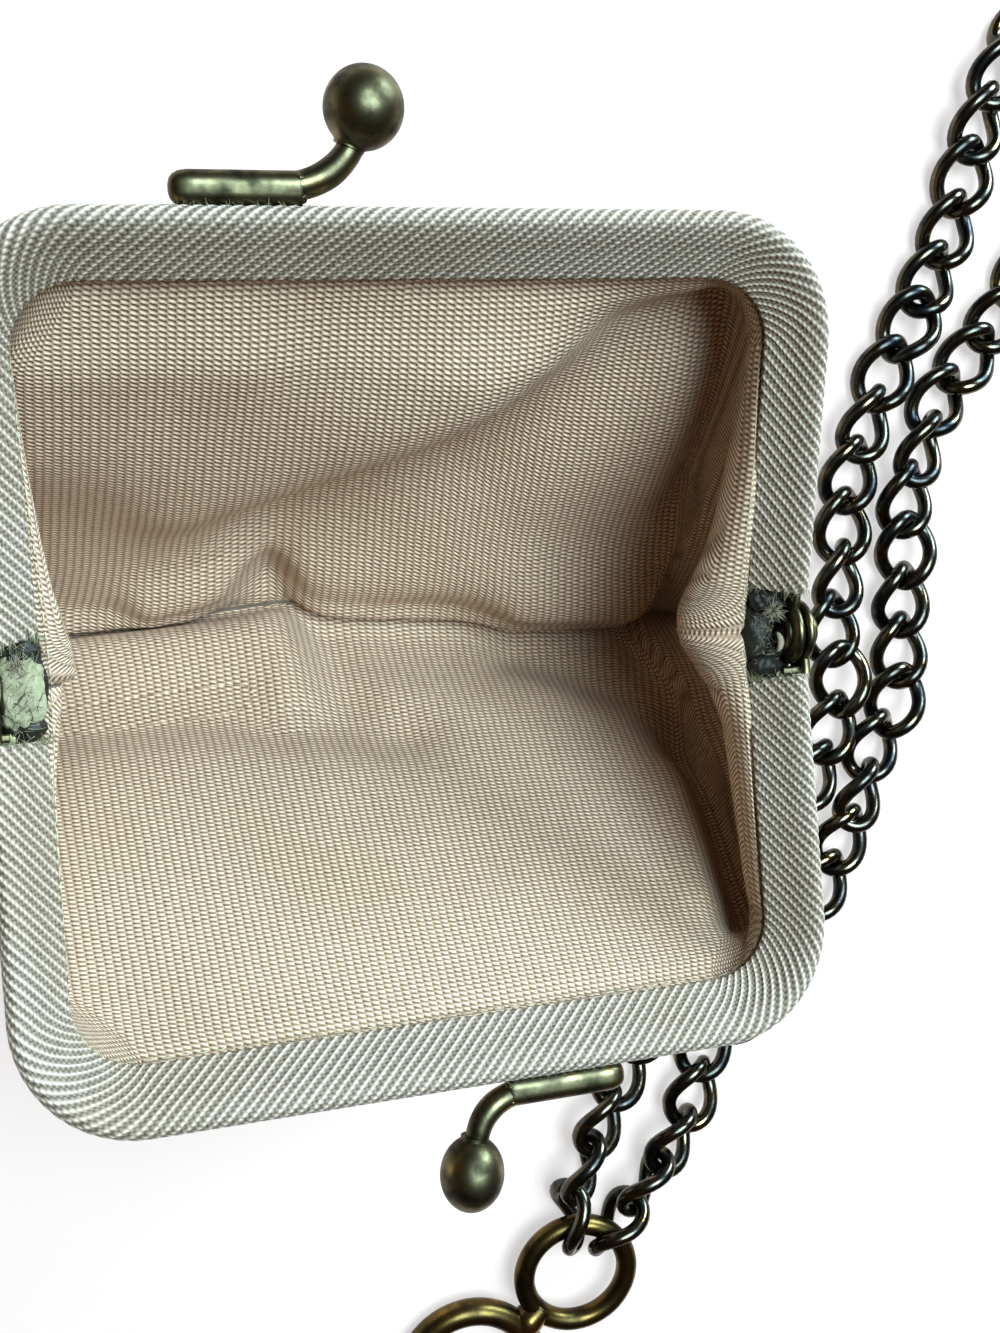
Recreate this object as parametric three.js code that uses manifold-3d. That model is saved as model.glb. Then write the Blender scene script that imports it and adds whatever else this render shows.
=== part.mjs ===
// Kiss lock purse, standing open on its base, with its loose chain strap lying beside it.
// Millimetres, +Z up. The hinge line runs along X, the back half opens towards +Y.
import * as THREE from 'three';
import { mergeVertices } from 'three/addons/utils/BufferGeometryUtils.js';
import Module from 'manifold-3d';

const wasm = await Module();
wasm.setup();

// Frame: two U-shaped halves, each opened almost flat.
const frameWidth = 85;
const legLength = 43.5;
const hingeHeight = 54;
const openAngle = THREE.MathUtils.degToRad(9);
const barFace = 6.5;
const barThickness = 4.8;
const barEdge = { side: 1.3, face: 2.3 };
const cornerRadius = 12.75;
const cornerSteps = 6;
const coreFace = 3.7;
const coreThickness = 1.6;
const gap = 0.3;
const coreStart = 3.75;
const coverStart = 4.8;

// Hinges: one lug of each half side by side on a rivet.
const lugRadius = 3.4;
const lugThickness = 1.1;
const lugInnerX = 40.2;
const lugOuterX = lugInnerX + lugThickness + gap;
const lugHoleRadius = 1.3;
const lugBridge = 0.75;
const rivetRadius = 1.0;
const rivetHead = { radius: 2.1, thickness: 1.3 };
const hingeSides = 10;

// Ball clasps: a soldered foot on the bar's outer edge, a bent arm and a ball.
const ballRadius = 3.5;
const armRadius = 1.2;
const footRadius = 1.35;
const footLift = footRadius + gap + 0.05;
const footInset = 0.7;
const clasps = {
  back: { footFrom: -22.0, footTo: -10.4, ballAlong: -4.7, ballOut: 51.7 },
  front: { footFrom: -18.2, footTo: -5.6, ballAlong: -1.2, ballOut: 52.6 },
};

// Pouch: cloth walls hung from the inner edge of the frame down to a creased bottom.
const clothThickness = 1.0;
const wallSlant = 1.15;
const rimInset = gap + clothThickness * wallSlant;
const rimCorner = 5.2;
const creaseHalfWidth = 1.5;
const creaseHeight = clothThickness * 2 + gap;
const creaseLengths = { side: 45.5, leg: 37.5, bar: 32.5 };
const creaseCornerRise = 6;
const creaseBend = [
  { along: -46, shift: -2.0 },
  { along: -8, shift: 0.8 },
  { along: 20, shift: -2.8 },
  { along: 46, shift: -3.6 },
];
const panelBelly = 4;
const sideBelly = 1.5;
const rowPlaces = [0, 0.06, 0.13, 0.2, 0.32, 0.5, 0.7, 0.86, 1];
const outerTopRow = 1;
const columns = { leg: 4, corner: 2, bar: 5 };
const sideTuck = { depth: 5, at: 0.17, spread: 0.09 };

// Folds of the two panels: across runs from -1 (left) to 1 (right), down from 0 (rim) to 1.
const folds = [
  { panel: 'back', fromX: 0.85, fromDown: 0.15, toX: -0.45, toDown: 0.7, breadth: 0.11, rise: 2.2 },
  { panel: 'back', fromX: 0.1, fromDown: 0.8, toX: 0.45, toDown: 0.78, breadth: 0.16, rise: 2.6 },
  { panel: 'back', fromX: 0.45, fromDown: 0.45, toX: 0.7, toDown: 0.5, breadth: 0.2, rise: -2.4 },
  { panel: 'front', fromX: -0.2, fromDown: 0.95, toX: -0.18, toDown: 0.72, breadth: 0.1, rise: 2.2 },
  { panel: 'front', fromX: -0.8, fromDown: 0.85, toX: -0.4, toDown: 0.85, breadth: 0.14, rise: 1.6 },
  { panel: 'front', fromX: 0.1, fromDown: 0.75, toX: 0.6, toDown: 0.7, breadth: 0.18, rise: -2.0 },
];

// Chain strap: twisted links lying on the ground, both ends hooked through the clasp's eye.
const linkWire = 1.1;
const linkHalfLength = 5.1;
const linkHalfWidth = 3.65;
const linkTwist = THREE.MathUtils.degToRad(47);
const linkSteps = 10;
const wireSides = 5;
const linkBite = 0.36;
const linkReach = linkHalfLength * Math.cos(Math.PI / linkSteps);
const linkPitch = 2 * linkReach - 2 * linkWire + linkBite;
const lyingHeight = 2.3;
const endTurns = [
  { roll: 90, height: 4.6 },
  { roll: 62, height: 4.4 },
  { roll: 34, height: 4.0 },
  { roll: 10, height: 3.15 },
  { roll: 0, height: 2.45 },
];
const strapRoute = [
  { x: 32.6, y: -88.6 },
  { x: 39.4, y: -74.7 },
  { x: 56.0, y: -51.0 },
  { x: 72.0, y: -30.5 },
  { x: 75.3, y: -18.4 },
  { x: 74.5, y: -7.5 },
  { x: 76.2, y: 5.0 },
  { x: 78.2, y: 17.5 },
  { x: 84.5, y: 32.5 },
  { x: 92.1, y: 46.5 },
  { x: 98.5, y: 67.0 },
  { x: 103.0, y: 76.0 },
  { x: 110.0, y: 80.0 },
  { x: 115.5, y: 73.5 },
  { x: 114.5, y: 60.0 },
  { x: 108.0, y: 46.0 },
  { x: 100.5, y: 35.0 },
  { x: 91.5, y: 23.5 },
  { x: 86.9, y: 11.0 },
  { x: 86.6, y: -5.0 },
  { x: 85.8, y: -18.0 },
  { x: 80.5, y: -31.0 },
  { x: 75.5, y: -45.0 },
  { x: 66.0, y: -59.5 },
  { x: 53.5, y: -73.0 },
  { x: 49.5, y: -84.0 },
];

// Strap clasp: a round eye for the chain, a short neck and a plain closed hook.
const eye = { x: 30.5, y: -106.2, z: 4.4, radius: 8.2, wire: 1.6 };
const hook = { x: 13.5, y: -121.4, halfWidth: 10.3, halfLength: 11.3, wire: 2.0 };
const neckRadius = 2.2;
const claspTilt = 0.068;
const firstLinkAngle = 93;
const lastLinkAngle = 46;
const linkSeat = linkReach - linkWire - eye.wire - 2 * gap;

const paint = {
  frameMetal: { color: 0x5a523f, roughness: 0.45, metalness: 0.9 },
  coverCloth: { color: 0xcdc3ae, roughness: 0.85, metalness: 0 },
  liningCloth: { color: 0xcdb795, roughness: 0.7, metalness: 0 },
  outerCloth: { color: 0xcbc0aa, roughness: 0.85, metalness: 0 },
  chainMetal: { color: 0x3f3b30, roughness: 0.35, metalness: 0.95 },
  claspMetal: { color: 0x75623c, roughness: 0.4, metalness: 0.95 },
};

function makeMesh(name, geometry, look) {
  const mesh = new THREE.Mesh(geometry, new THREE.MeshStandardMaterial(look));
  mesh.name = name;
  return mesh;
}

function solidOf(geometry) {
  const bare = new THREE.BufferGeometry();
  bare.setAttribute('position', geometry.getAttribute('position').clone());
  bare.setIndex(geometry.index);
  const merged = mergeVertices(bare, 1e-4);
  return new wasm.Manifold(new wasm.Mesh({
    numProp: 3,
    vertProperties: new Float32Array(merged.getAttribute('position').array),
    triVerts: new Uint32Array(merged.index.array),
  }));
}

function geometryOf(solid) {
  const data = solid.getMesh();
  const geometry = new THREE.BufferGeometry();
  geometry.setAttribute('position', new THREE.BufferAttribute(data.vertProperties, 3));
  geometry.setIndex(new THREE.BufferAttribute(data.triVerts, 1));
  geometry.computeVertexNormals();
  return geometry;
}

// Builds a closed geometry from points and triangles, with its faces turned outwards.
function closedGeometry(points, triangles) {
  let volume = 0;
  for (const [a, b, c] of triangles) {
    volume += points[a].dot(new THREE.Vector3().crossVectors(points[b], points[c]));
  }
  const index = triangles.flatMap(([a, b, c]) => (volume < 0 ? [a, c, b] : [a, b, c]));
  const geometry = new THREE.BufferGeometry().setFromPoints(points);
  geometry.setIndex(index);
  geometry.computeVertexNormals();
  return geometry;
}

// Carries a ring of section points along stations, closing it on itself or with flat ends.
function sweep(stations, ring, loops) {
  const points = [];
  const triangles = [];
  const around = ring.length;
  for (const station of stations) {
    for (const { across, up } of ring) {
      const point = station.origin.clone();
      point.addScaledVector(station.across, across);
      point.addScaledVector(station.up, up);
      points.push(point);
    }
  }
  const spans = loops ? stations.length : stations.length - 1;
  for (let i = 0; i < spans; i += 1) {
    const here = i * around;
    const next = ((i + 1) % stations.length) * around;
    for (let k = 0; k < around; k += 1) {
      const after = (k + 1) % around;
      triangles.push([here + k, next + k, next + after]);
      triangles.push([here + k, next + after, here + after]);
    }
  }
  if (!loops) {
    const last = (stations.length - 1) * around;
    for (let k = 1; k < around - 1; k += 1) {
      triangles.push([0, k, k + 1]);
      triangles.push([last, last + k + 1, last + k]);
    }
  }
  return closedGeometry(points, triangles);
}

function roundRing(radius, sides) {
  return Array.from({ length: sides }, (unused, k) => {
    const angle = Math.PI + (2 * Math.PI * k) / sides;
    return { across: radius * Math.cos(angle), up: radius * Math.sin(angle) };
  });
}

function boxBetween(low, high) {
  const size = new THREE.Vector3().subVectors(high, low);
  const box = new THREE.BoxGeometry(size.x, size.y, size.z);
  const middle = new THREE.Vector3().addVectors(low, high).multiplyScalar(0.5);
  return box.translate(middle.x, middle.y, middle.z);
}

// A cylinder along X from one place to another.
function barAlongX(radius, from, to, sides, out, up) {
  const bar = new THREE.CylinderGeometry(radius, radius, to - from, sides);
  return bar.rotateZ(Math.PI / 2).translate((from + to) / 2, out, up);
}

// Middle line of one frame half in its own plane: up one leg, along the bar, down the other.
function frameStations(start) {
  const legX = (frameWidth - barFace) / 2;
  const barY = legLength - barFace / 2;
  const bend = cornerRadius - barFace / 2;
  const stations = [];
  const up = new THREE.Vector3(0, 0, 1);
  const add = (x, y, angle) => {
    const across = new THREE.Vector3(Math.cos(angle), Math.sin(angle), 0);
    stations.push({ origin: new THREE.Vector3(x, y, 0), across, up });
  };
  add(legX, start, 0);
  for (const side of [1, -1]) {
    for (let i = 0; i <= cornerSteps; i += 1) {
      const turn = (Math.PI / 2) * (i / cornerSteps) + (side < 0 ? Math.PI / 2 : 0);
      add(side * (legX - bend) + bend * Math.cos(turn), barY - bend + bend * Math.sin(turn), turn);
    }
  }
  add(-legX, start, Math.PI);
  return stations;
}

function rectangleRing(width, height) {
  const signs = [[1, -1], [1, 1], [-1, 1], [-1, -1]];
  return signs.map(([a, b]) => ({ across: (a * width) / 2, up: (b * height) / 2 }));
}

function coverRing() {
  const half = barFace / 2;
  const thick = barThickness / 2;
  const { side, face } = barEdge;
  const corners = [
    [half, -side], [half, side], [face, thick], [-face, thick],
    [-half, side], [-half, -side], [-face, -thick], [face, -thick],
  ];
  return corners.map(([across, up]) => ({ across, up }));
}

// Metal core of one half with its two hinge lugs and its soldered ball clasp.
function frameCore(clasp) {
  const half = coreThickness / 2;
  let core = solidOf(sweep(frameStations(coreStart), rectangleRing(coreFace, coreThickness), false));
  const lugs = [
    { side: 1, from: lugInnerX },
    { side: -1, from: lugOuterX },
  ];
  for (const { side, from } of lugs) {
    const to = from + lugThickness;
    const ends = [side * from, side * to].sort((a, b) => a - b);
    const disc = solidOf(barAlongX(lugRadius, ends[0], ends[1], hingeSides, 0, 0));
    const strap = solidOf(boxBetween(
      new THREE.Vector3(ends[0], 0, -half),
      new THREE.Vector3(ends[1], coreStart + lugBridge, half),
    ));
    const bridge = [side * lugInnerX, side * to].sort((a, b) => a - b);
    const joggle = solidOf(boxBetween(
      new THREE.Vector3(bridge[0], coreStart, -half),
      new THREE.Vector3(bridge[1], coreStart + lugBridge, half),
    ));
    const hole = solidOf(barAlongX(lugHoleRadius, ends[0] - 0.2, ends[1] + 0.2, hingeSides, 0, 0));
    core = core.add(disc.add(strap).subtract(hole)).add(joggle);
  }
  const footOut = legLength + footLift;
  const tongue = solidOf(boxBetween(
    new THREE.Vector3(clasp.footFrom + footInset, legLength - barFace / 2, -half),
    new THREE.Vector3(clasp.footTo - footInset, footOut, half),
  ));
  const bead = solidOf(barAlongX(footRadius, clasp.footFrom, clasp.footTo, 8, footOut, 0));
  const arm = new THREE.QuadraticBezierCurve3(
    new THREE.Vector3(clasp.footTo - 1.2, footOut, 0),
    new THREE.Vector3(clasp.footTo + 3.2, footOut + 0.4, 0),
    new THREE.Vector3(clasp.ballAlong - 0.6, clasp.ballOut - 2.2, 0),
  );
  const armStations = Array.from({ length: 6 }, (unused, i) => {
    const tangent = arm.getTangent(i / 5);
    return {
      origin: arm.getPoint(i / 5),
      across: new THREE.Vector3(tangent.y, -tangent.x, 0),
      up: new THREE.Vector3(0, 0, 1),
    };
  });
  const armSolid = solidOf(sweep(armStations, roundRing(armRadius, 6), false));
  const ball = new THREE.SphereGeometry(ballRadius, 10, 7).translate(clasp.ballAlong, clasp.ballOut, 0);
  return geometryOf(core.add(tongue).add(bead).add(armSolid).add(solidOf(ball)));
}

// Cloth sleeve round one half, open at its hinge ends and slotted for the clasp's foot.
function frameCover(clasp) {
  const sleeve = solidOf(sweep(frameStations(coverStart), coverRing(), false));
  const hollowRing = rectangleRing(coreFace + 2 * gap, coreThickness + 2 * gap);
  const hollow = solidOf(sweep(frameStations(coverStart - 1), hollowRing, false));
  const slotHalf = coreThickness / 2 + gap;
  const slot = solidOf(boxBetween(
    new THREE.Vector3(clasp.footFrom + footInset - gap, legLength - barFace / 2, -slotHalf),
    new THREE.Vector3(clasp.footTo - footInset + gap, legLength + 1, slotHalf),
  ));
  return geometryOf(sleeve.subtract(hollow).subtract(slot));
}

function hingeRivet() {
  const innerFace = lugInnerX - gap;
  const outerFace = lugOuterX + lugThickness + gap;
  const { radius, thickness } = rivetHead;
  const shaft = solidOf(barAlongX(rivetRadius, innerFace - 0.5, outerFace + 0.5, hingeSides, 0, 0));
  const innerHead = solidOf(barAlongX(radius, innerFace - thickness, innerFace, hingeSides, 0, 0));
  const outerHead = solidOf(barAlongX(radius, outerFace, outerFace + 0.8, hingeSides, 0, 0));
  return geometryOf(shaft.add(innerHead).add(outerHead));
}

// One column of the pouch: its rim place, its crease place and the way out of the bag.
function pouchColumns() {
  const rimX = frameWidth / 2 - barFace - rimInset;
  const rimOut = legLength - barFace - rimInset;
  const list = [];
  const halfColumns = [];
  const add = (x, out, creaseX, facing, tuck) => halfColumns.push({ x, out, creaseX, facing, tuck });
  const mix = THREE.MathUtils.lerp;
  for (let i = 0; i < columns.leg; i += 1) {
    const part = i / columns.leg;
    const creaseX = mix(creaseLengths.side, creaseLengths.leg, part);
    add(rimX, part * (rimOut - rimCorner), creaseX, mix(0, 50, part), (1 - part) ** 1.3);
  }
  for (let i = 0; i < columns.corner; i += 1) {
    const part = i / columns.corner;
    const turn = (Math.PI / 2) * part;
    const x = rimX - rimCorner + rimCorner * Math.cos(turn);
    const out = rimOut - rimCorner + rimCorner * Math.sin(turn);
    add(x, out, mix(creaseLengths.leg, creaseLengths.bar, part), mix(50, 85, part), 0);
  }
  for (let i = 0; i <= columns.bar; i += 1) {
    const part = 1 - (2 * i) / columns.bar;
    add(part * (rimX - rimCorner), rimOut, part * creaseLengths.bar, 90 - 5 * part, 0);
  }
  const mirrored = halfColumns.slice(0, columns.leg + columns.corner).reverse();
  for (const column of mirrored) {
    const { x, out, creaseX, facing, tuck } = column;
    add(-x, out, -creaseX, 180 - facing, tuck);
  }
  for (const column of halfColumns.slice(0, -1)) {
    list.push({ ...column, panel: 'back', way: 1 });
  }
  for (const column of halfColumns.slice(0, -1)) {
    const { x, out, creaseX, facing, tuck } = column;
    list.push({ x: -x, out, creaseX: -creaseX, facing: facing + 180, tuck, panel: 'front', way: -1 });
  }
  return list;
}

function foldRise(panel, across, down) {
  let rise = 0;
  for (const fold of folds.filter((row) => row.panel === panel)) {
    const run = new THREE.Vector2(fold.toX - fold.fromX, fold.toDown - fold.fromDown);
    const from = new THREE.Vector2(across - fold.fromX, down - fold.fromDown);
    const along = THREE.MathUtils.clamp(from.dot(run) / run.lengthSq(), 0, 1);
    const away = from.addScaledVector(run, -along).length() / fold.breadth;
    rise += fold.rise * Math.exp(-away * away);
  }
  return rise;
}

// How far the bottom crease strays from a straight line at a place along it.
function creaseShift(along) {
  const next = Math.max(1, creaseBend.findIndex((row) => row.along >= along));
  const from = creaseBend[next - 1];
  const to = creaseBend[next];
  return THREE.MathUtils.mapLinear(along, from.along, to.along, from.shift, to.shift);
}

// A point of the pouch's visible inner face, pushed outwards by a given distance.
function pouchPoint(column, down, outwards) {
  const angle = THREE.MathUtils.degToRad(column.facing);
  const outX = Math.cos(angle);
  const outY = Math.sin(angle);
  const ending = Math.min(1, Math.abs(column.creaseX) / creaseLengths.side);
  const corner = THREE.MathUtils.smoothstep(ending, 0.72, 1);
  const rimZ = hingeHeight + column.out * Math.sin(openAngle);
  const rimY = column.way * column.out * Math.cos(openAngle);
  const creaseY = creaseShift(column.creaseX) + column.way * creaseHalfWidth * (1 - corner ** 2);
  const creaseZ = creaseHeight + creaseCornerRise * corner;
  const bulge = Math.sin(Math.PI * down) * THREE.MathUtils.lerp(sideBelly, panelBelly, Math.abs(outY));
  const tuckPlace = (down - sideTuck.at) / sideTuck.spread;
  const tuck = column.tuck * sideTuck.depth * Math.exp(-tuckPlace * tuckPlace);
  const fade = Math.sin(Math.PI * down) ** 0.5;
  const panelPart = fade * Math.abs(outY) ** 4;
  const rise = panelPart * foldRise(column.panel, column.creaseX / creaseLengths.leg, down);
  const push = bulge - tuck + outwards * wallSlant;
  const x = THREE.MathUtils.lerp(column.x, column.creaseX, down) + outX * push;
  const y = THREE.MathUtils.lerp(rimY, creaseY, down) + outY * push - column.way * rise * 0.85;
  const sink = outwards * THREE.MathUtils.smoothstep(down, 0.8, 1);
  const z = THREE.MathUtils.lerp(rimZ, creaseZ, down) + rise * 0.5 - sink;
  return new THREE.Vector3(x, y, z);
}

// A cloth wall between two distances from the pouch's inner face, closed at the crease.
function clothShell(near, far, topRow) {
  const list = pouchColumns();
  const count = list.length;
  const places = rowPlaces.slice(topRow);
  const rows = places.length - 1;
  const points = [];
  const triangles = [];
  for (const outwards of [near, far]) {
    for (const down of places) {
      for (const column of list) {
        points.push(pouchPoint(column, down, outwards));
      }
    }
  }
  const layer = (rows + 1) * count;
  const quad = (a, b, c, d, flip) => {
    triangles.push(flip ? [a, c, b] : [a, b, c]);
    triangles.push(flip ? [a, d, c] : [a, c, d]);
  };
  for (let i = 0; i < count; i += 1) {
    const next = (i + 1) % count;
    for (let j = 0; j < rows; j += 1) {
      const here = j * count;
      const below = here + count;
      quad(here + i, here + next, below + next, below + i, false);
      quad(layer + here + i, layer + here + next, layer + below + next, layer + below + i, true);
    }
    quad(i, layer + i, layer + next, next, false);
  }
  const bottom = rows * count;
  for (let i = 0; i < count / 2; i += 1) {
    const a = bottom + i;
    const b = bottom + i + 1;
    const c = bottom + ((count - i - 1) % count);
    const d = bottom + ((count - i) % count);
    if (i > 0) {
      triangles.push([a, b, d]);
      triangles.push([layer + a, layer + d, layer + b]);
    }
    if (i < count / 2 - 1) {
      triangles.push([b, c, d]);
      triangles.push([layer + b, layer + d, layer + c]);
    }
  }
  return closedGeometry(points, triangles);
}

// The place on the eye's wire at an angle, with the height that the tilted clasp has there.
function eyePlace(degrees, reach) {
  const angle = THREE.MathUtils.degToRad(degrees);
  const towardsHook = new THREE.Vector2(hook.x - eye.x, hook.y - eye.y).normalize();
  const x = reach * Math.cos(angle);
  const y = reach * Math.sin(angle);
  const z = eye.z - claspTilt * (x * towardsHook.x + y * towardsHook.y);
  return new THREE.Vector3(eye.x + x, eye.y + y, z);
}

// Middle places of the links, evenly spaced along the strap's smooth route.
function linkPlaces() {
  const first = eyePlace(firstLinkAngle, eye.radius + linkSeat);
  const last = eyePlace(lastLinkAngle, eye.radius + linkSeat);
  const route = [first, ...strapRoute, last];
  const curve = new THREE.CatmullRomCurve3(route.map(({ x, y }) => new THREE.Vector3(x, y, lyingHeight)));
  curve.arcLengthDivisions = 2000;
  const count = Math.ceil(curve.getLength() / linkPitch) + 1;
  return Array.from({ length: count }, (unused, i) => {
    const place = curve.getPointAt(i / (count - 1));
    const fromEnd = count - 1 - i;
    const turn = endTurns[Math.min(i, fromEnd)] ?? { roll: 0, height: lyingHeight };
    const way = i < fromEnd ? 1 : -1;
    return { place: place.setZ(turn.height), roll: THREE.MathUtils.degToRad(way * turn.roll) };
  });
}

// One twisted link: its two ends lean opposite ways so that neighbours hook together.
function chainLink(place, ahead, roll) {
  const tangent = ahead.clone().normalize();
  const level = new THREE.Vector3(-tangent.y, tangent.x, 0).normalize();
  const upright = new THREE.Vector3().crossVectors(tangent, level);
  const side = level.clone().multiplyScalar(Math.cos(roll)).addScaledVector(upright, Math.sin(roll));
  const top = upright.clone().multiplyScalar(Math.cos(roll)).addScaledVector(level, -Math.sin(roll));
  const wirePoint = (t) => {
    const twist = linkTwist * Math.cos(t);
    const width = linkHalfWidth * Math.sin(t);
    const point = place.clone().addScaledVector(tangent, linkHalfLength * Math.cos(t));
    point.addScaledVector(side, width * Math.cos(twist));
    return point.addScaledVector(top, width * Math.sin(twist));
  };
  const stations = Array.from({ length: linkSteps }, (unused, i) => {
    const t = (2 * Math.PI * (i + 0.5)) / linkSteps;
    const origin = wirePoint(t);
    const run = wirePoint(t + 0.01).sub(wirePoint(t - 0.01)).normalize();
    const across = origin.clone().sub(place);
    across.addScaledVector(run, -across.dot(run)).normalize();
    return { origin, across, up: new THREE.Vector3().crossVectors(run, across) };
  });
  return sweep(stations, roundRing(linkWire, wireSides), true);
}

function chainStrap() {
  const places = linkPlaces();
  let strap = null;
  places.forEach(({ place, roll }, i) => {
    const before = places[i - 1]?.place ?? eyePlace(firstLinkAngle, 0).setZ(place.z);
    const after = places[i + 1]?.place ?? eyePlace(lastLinkAngle, 0).setZ(place.z);
    const ahead = new THREE.Vector3();
    if (i === 0) {
      ahead.subVectors(place, before);
    } else if (i === places.length - 1) {
      ahead.subVectors(after, place);
    } else {
      ahead.subVectors(after, before);
    }
    const link = solidOf(chainLink(place, ahead, roll));
    strap = strap ? strap.add(link) : link;
  });
  return geometryOf(strap);
}

function ovalRing(halfWidth, halfLength, wire, steps, sides) {
  const stations = Array.from({ length: steps }, (unused, i) => {
    const t = (2 * Math.PI * i) / steps;
    const across = new THREE.Vector3(Math.cos(t) * halfLength, Math.sin(t) * halfWidth, 0).normalize();
    return {
      origin: new THREE.Vector3(halfWidth * Math.cos(t), halfLength * Math.sin(t), 0),
      across,
      up: new THREE.Vector3(0, 0, 1),
    };
  });
  return sweep(stations, roundRing(wire, sides), true);
}

function strapClasp() {
  const away = new THREE.Vector3(hook.x - eye.x, hook.y - eye.y, 0);
  const eyeRing = solidOf(ovalRing(eye.radius, eye.radius, eye.wire, 16, 6));
  const hookOval = ovalRing(hook.halfWidth, hook.halfLength, hook.wire, 18, 6);
  const hookRing = solidOf(hookOval.translate(away.x, away.y, 0));
  const reach = away.length();
  const along = away.clone().normalize();
  const across = new THREE.Vector3(-along.y, along.x, 0);
  const neckStations = [eye.radius, reach - hook.halfWidth].map((distance) => ({
    origin: along.clone().multiplyScalar(distance),
    across,
    up: new THREE.Vector3(0, 0, 1),
  }));
  const neck = solidOf(sweep(neckStations, roundRing(neckRadius, 8), false));
  return geometryOf(eyeRing.add(neck).add(hookRing));
}

const purse = new THREE.Group();

for (const [half, turn] of [['back', 0], ['front', Math.PI]]) {
  const turned = new THREE.Group();
  turned.position.z = hingeHeight;
  turned.rotation.z = turn;
  const opened = new THREE.Group();
  opened.rotation.x = openAngle;
  opened.add(makeMesh(`frame_${half}`, frameCore(clasps[half]), paint.frameMetal));
  opened.add(makeMesh(`cover_${half}`, frameCover(clasps[half]), paint.coverCloth));
  turned.add(opened);
  purse.add(turned);
}

for (const [side, turn] of [['right', 0], ['left', Math.PI]]) {
  const rivet = makeMesh(`hinge_rivet_${side}`, hingeRivet(), paint.frameMetal);
  rivet.position.z = hingeHeight;
  rivet.rotation.z = turn;
  purse.add(rivet);
}

const outerNear = clothThickness + gap;
const outerShell = clothShell(outerNear, outerNear + clothThickness, outerTopRow);
purse.add(makeMesh('outer_bag', outerShell, paint.outerCloth));
purse.add(makeMesh('lining', clothShell(0, clothThickness, 0), paint.liningCloth));
purse.add(makeMesh('chain_strap', chainStrap(), paint.chainMetal));

const clasp = makeMesh('strap_clasp', strapClasp(), paint.claspMetal);
const claspLean = new THREE.Vector3(eye.y - hook.y, hook.x - eye.x, 0).normalize();
clasp.quaternion.setFromAxisAngle(claspLean, Math.asin(claspTilt));
clasp.position.set(eye.x, eye.y, eye.z);
purse.add(clasp);

export default purse;
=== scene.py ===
# Kiss lock purse standing open, seen from above, with its chain strap lying beside it.
# Sizes are in millimetres until a mesh is made, then metres, in the frame of the solids.
import math

import bpy
import numpy as np
from mathutils import Matrix, Vector


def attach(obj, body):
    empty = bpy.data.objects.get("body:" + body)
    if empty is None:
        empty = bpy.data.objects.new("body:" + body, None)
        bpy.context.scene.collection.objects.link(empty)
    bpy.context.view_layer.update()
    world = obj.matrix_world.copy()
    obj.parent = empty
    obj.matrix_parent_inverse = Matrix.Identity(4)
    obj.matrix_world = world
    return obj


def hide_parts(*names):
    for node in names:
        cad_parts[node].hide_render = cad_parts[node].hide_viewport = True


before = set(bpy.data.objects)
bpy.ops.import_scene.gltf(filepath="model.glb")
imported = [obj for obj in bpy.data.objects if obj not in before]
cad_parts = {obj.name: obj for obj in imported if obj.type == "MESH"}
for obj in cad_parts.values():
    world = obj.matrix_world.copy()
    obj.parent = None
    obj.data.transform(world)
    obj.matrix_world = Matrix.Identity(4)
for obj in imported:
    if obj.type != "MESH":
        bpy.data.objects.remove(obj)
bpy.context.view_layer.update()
mm = 0.001
poleGap = 0.02  # angle left open at the poles of round bodies, where a cap closes them
dice = np.random.default_rng(11)
print("frame loaded:", len(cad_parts), "nodes")


# Helpers for numbers
def smooth(low, high, value):
    part = np.clip((value - low) / (high - low), 0.0, 1.0)
    return part * part * (3.0 - 2.0 * part)


def mix(a, b, part):
    return a + (b - a) * part


def unit(vectors):
    vectors = np.asarray(vectors, float)
    return vectors / np.maximum(np.linalg.norm(vectors, axis=-1, keepdims=True), 1e-9)


def closedCurve(knots, perSpan):
    # a smooth closed line through knots, every span cut in the same number of steps
    knots = np.asarray(knots, float)
    before, first, second, after = (np.roll(knots, k, 0)[:, None, :] for k in (1, 0, -1, -2))
    t = (np.arange(perSpan) / perSpan)[None, :, None]
    line = 0.5 * (2 * first + (second - before) * t
                  + (2 * before - 5 * first + 4 * second - after) * t ** 2
                  + (3 * first - before - 3 * second + after) * t ** 3)
    return line.reshape(-1, knots.shape[1])


def evenly(line, count, closed=False):
    # the same line with evenly spaced points, and how far along it each point is
    line = np.asarray(line, float)
    path = np.vstack([line, line[:1]]) if closed else line
    gone = np.concatenate([[0.0], np.cumsum(np.linalg.norm(np.diff(path, axis=0), axis=1))])
    at = np.linspace(0.0, gone[-1], count + 1)[:-1] if closed else np.linspace(0.0, gone[-1], count)
    return np.stack([np.interp(at, gone, path[:, k]) for k in range(path.shape[1])], 1), at


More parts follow.
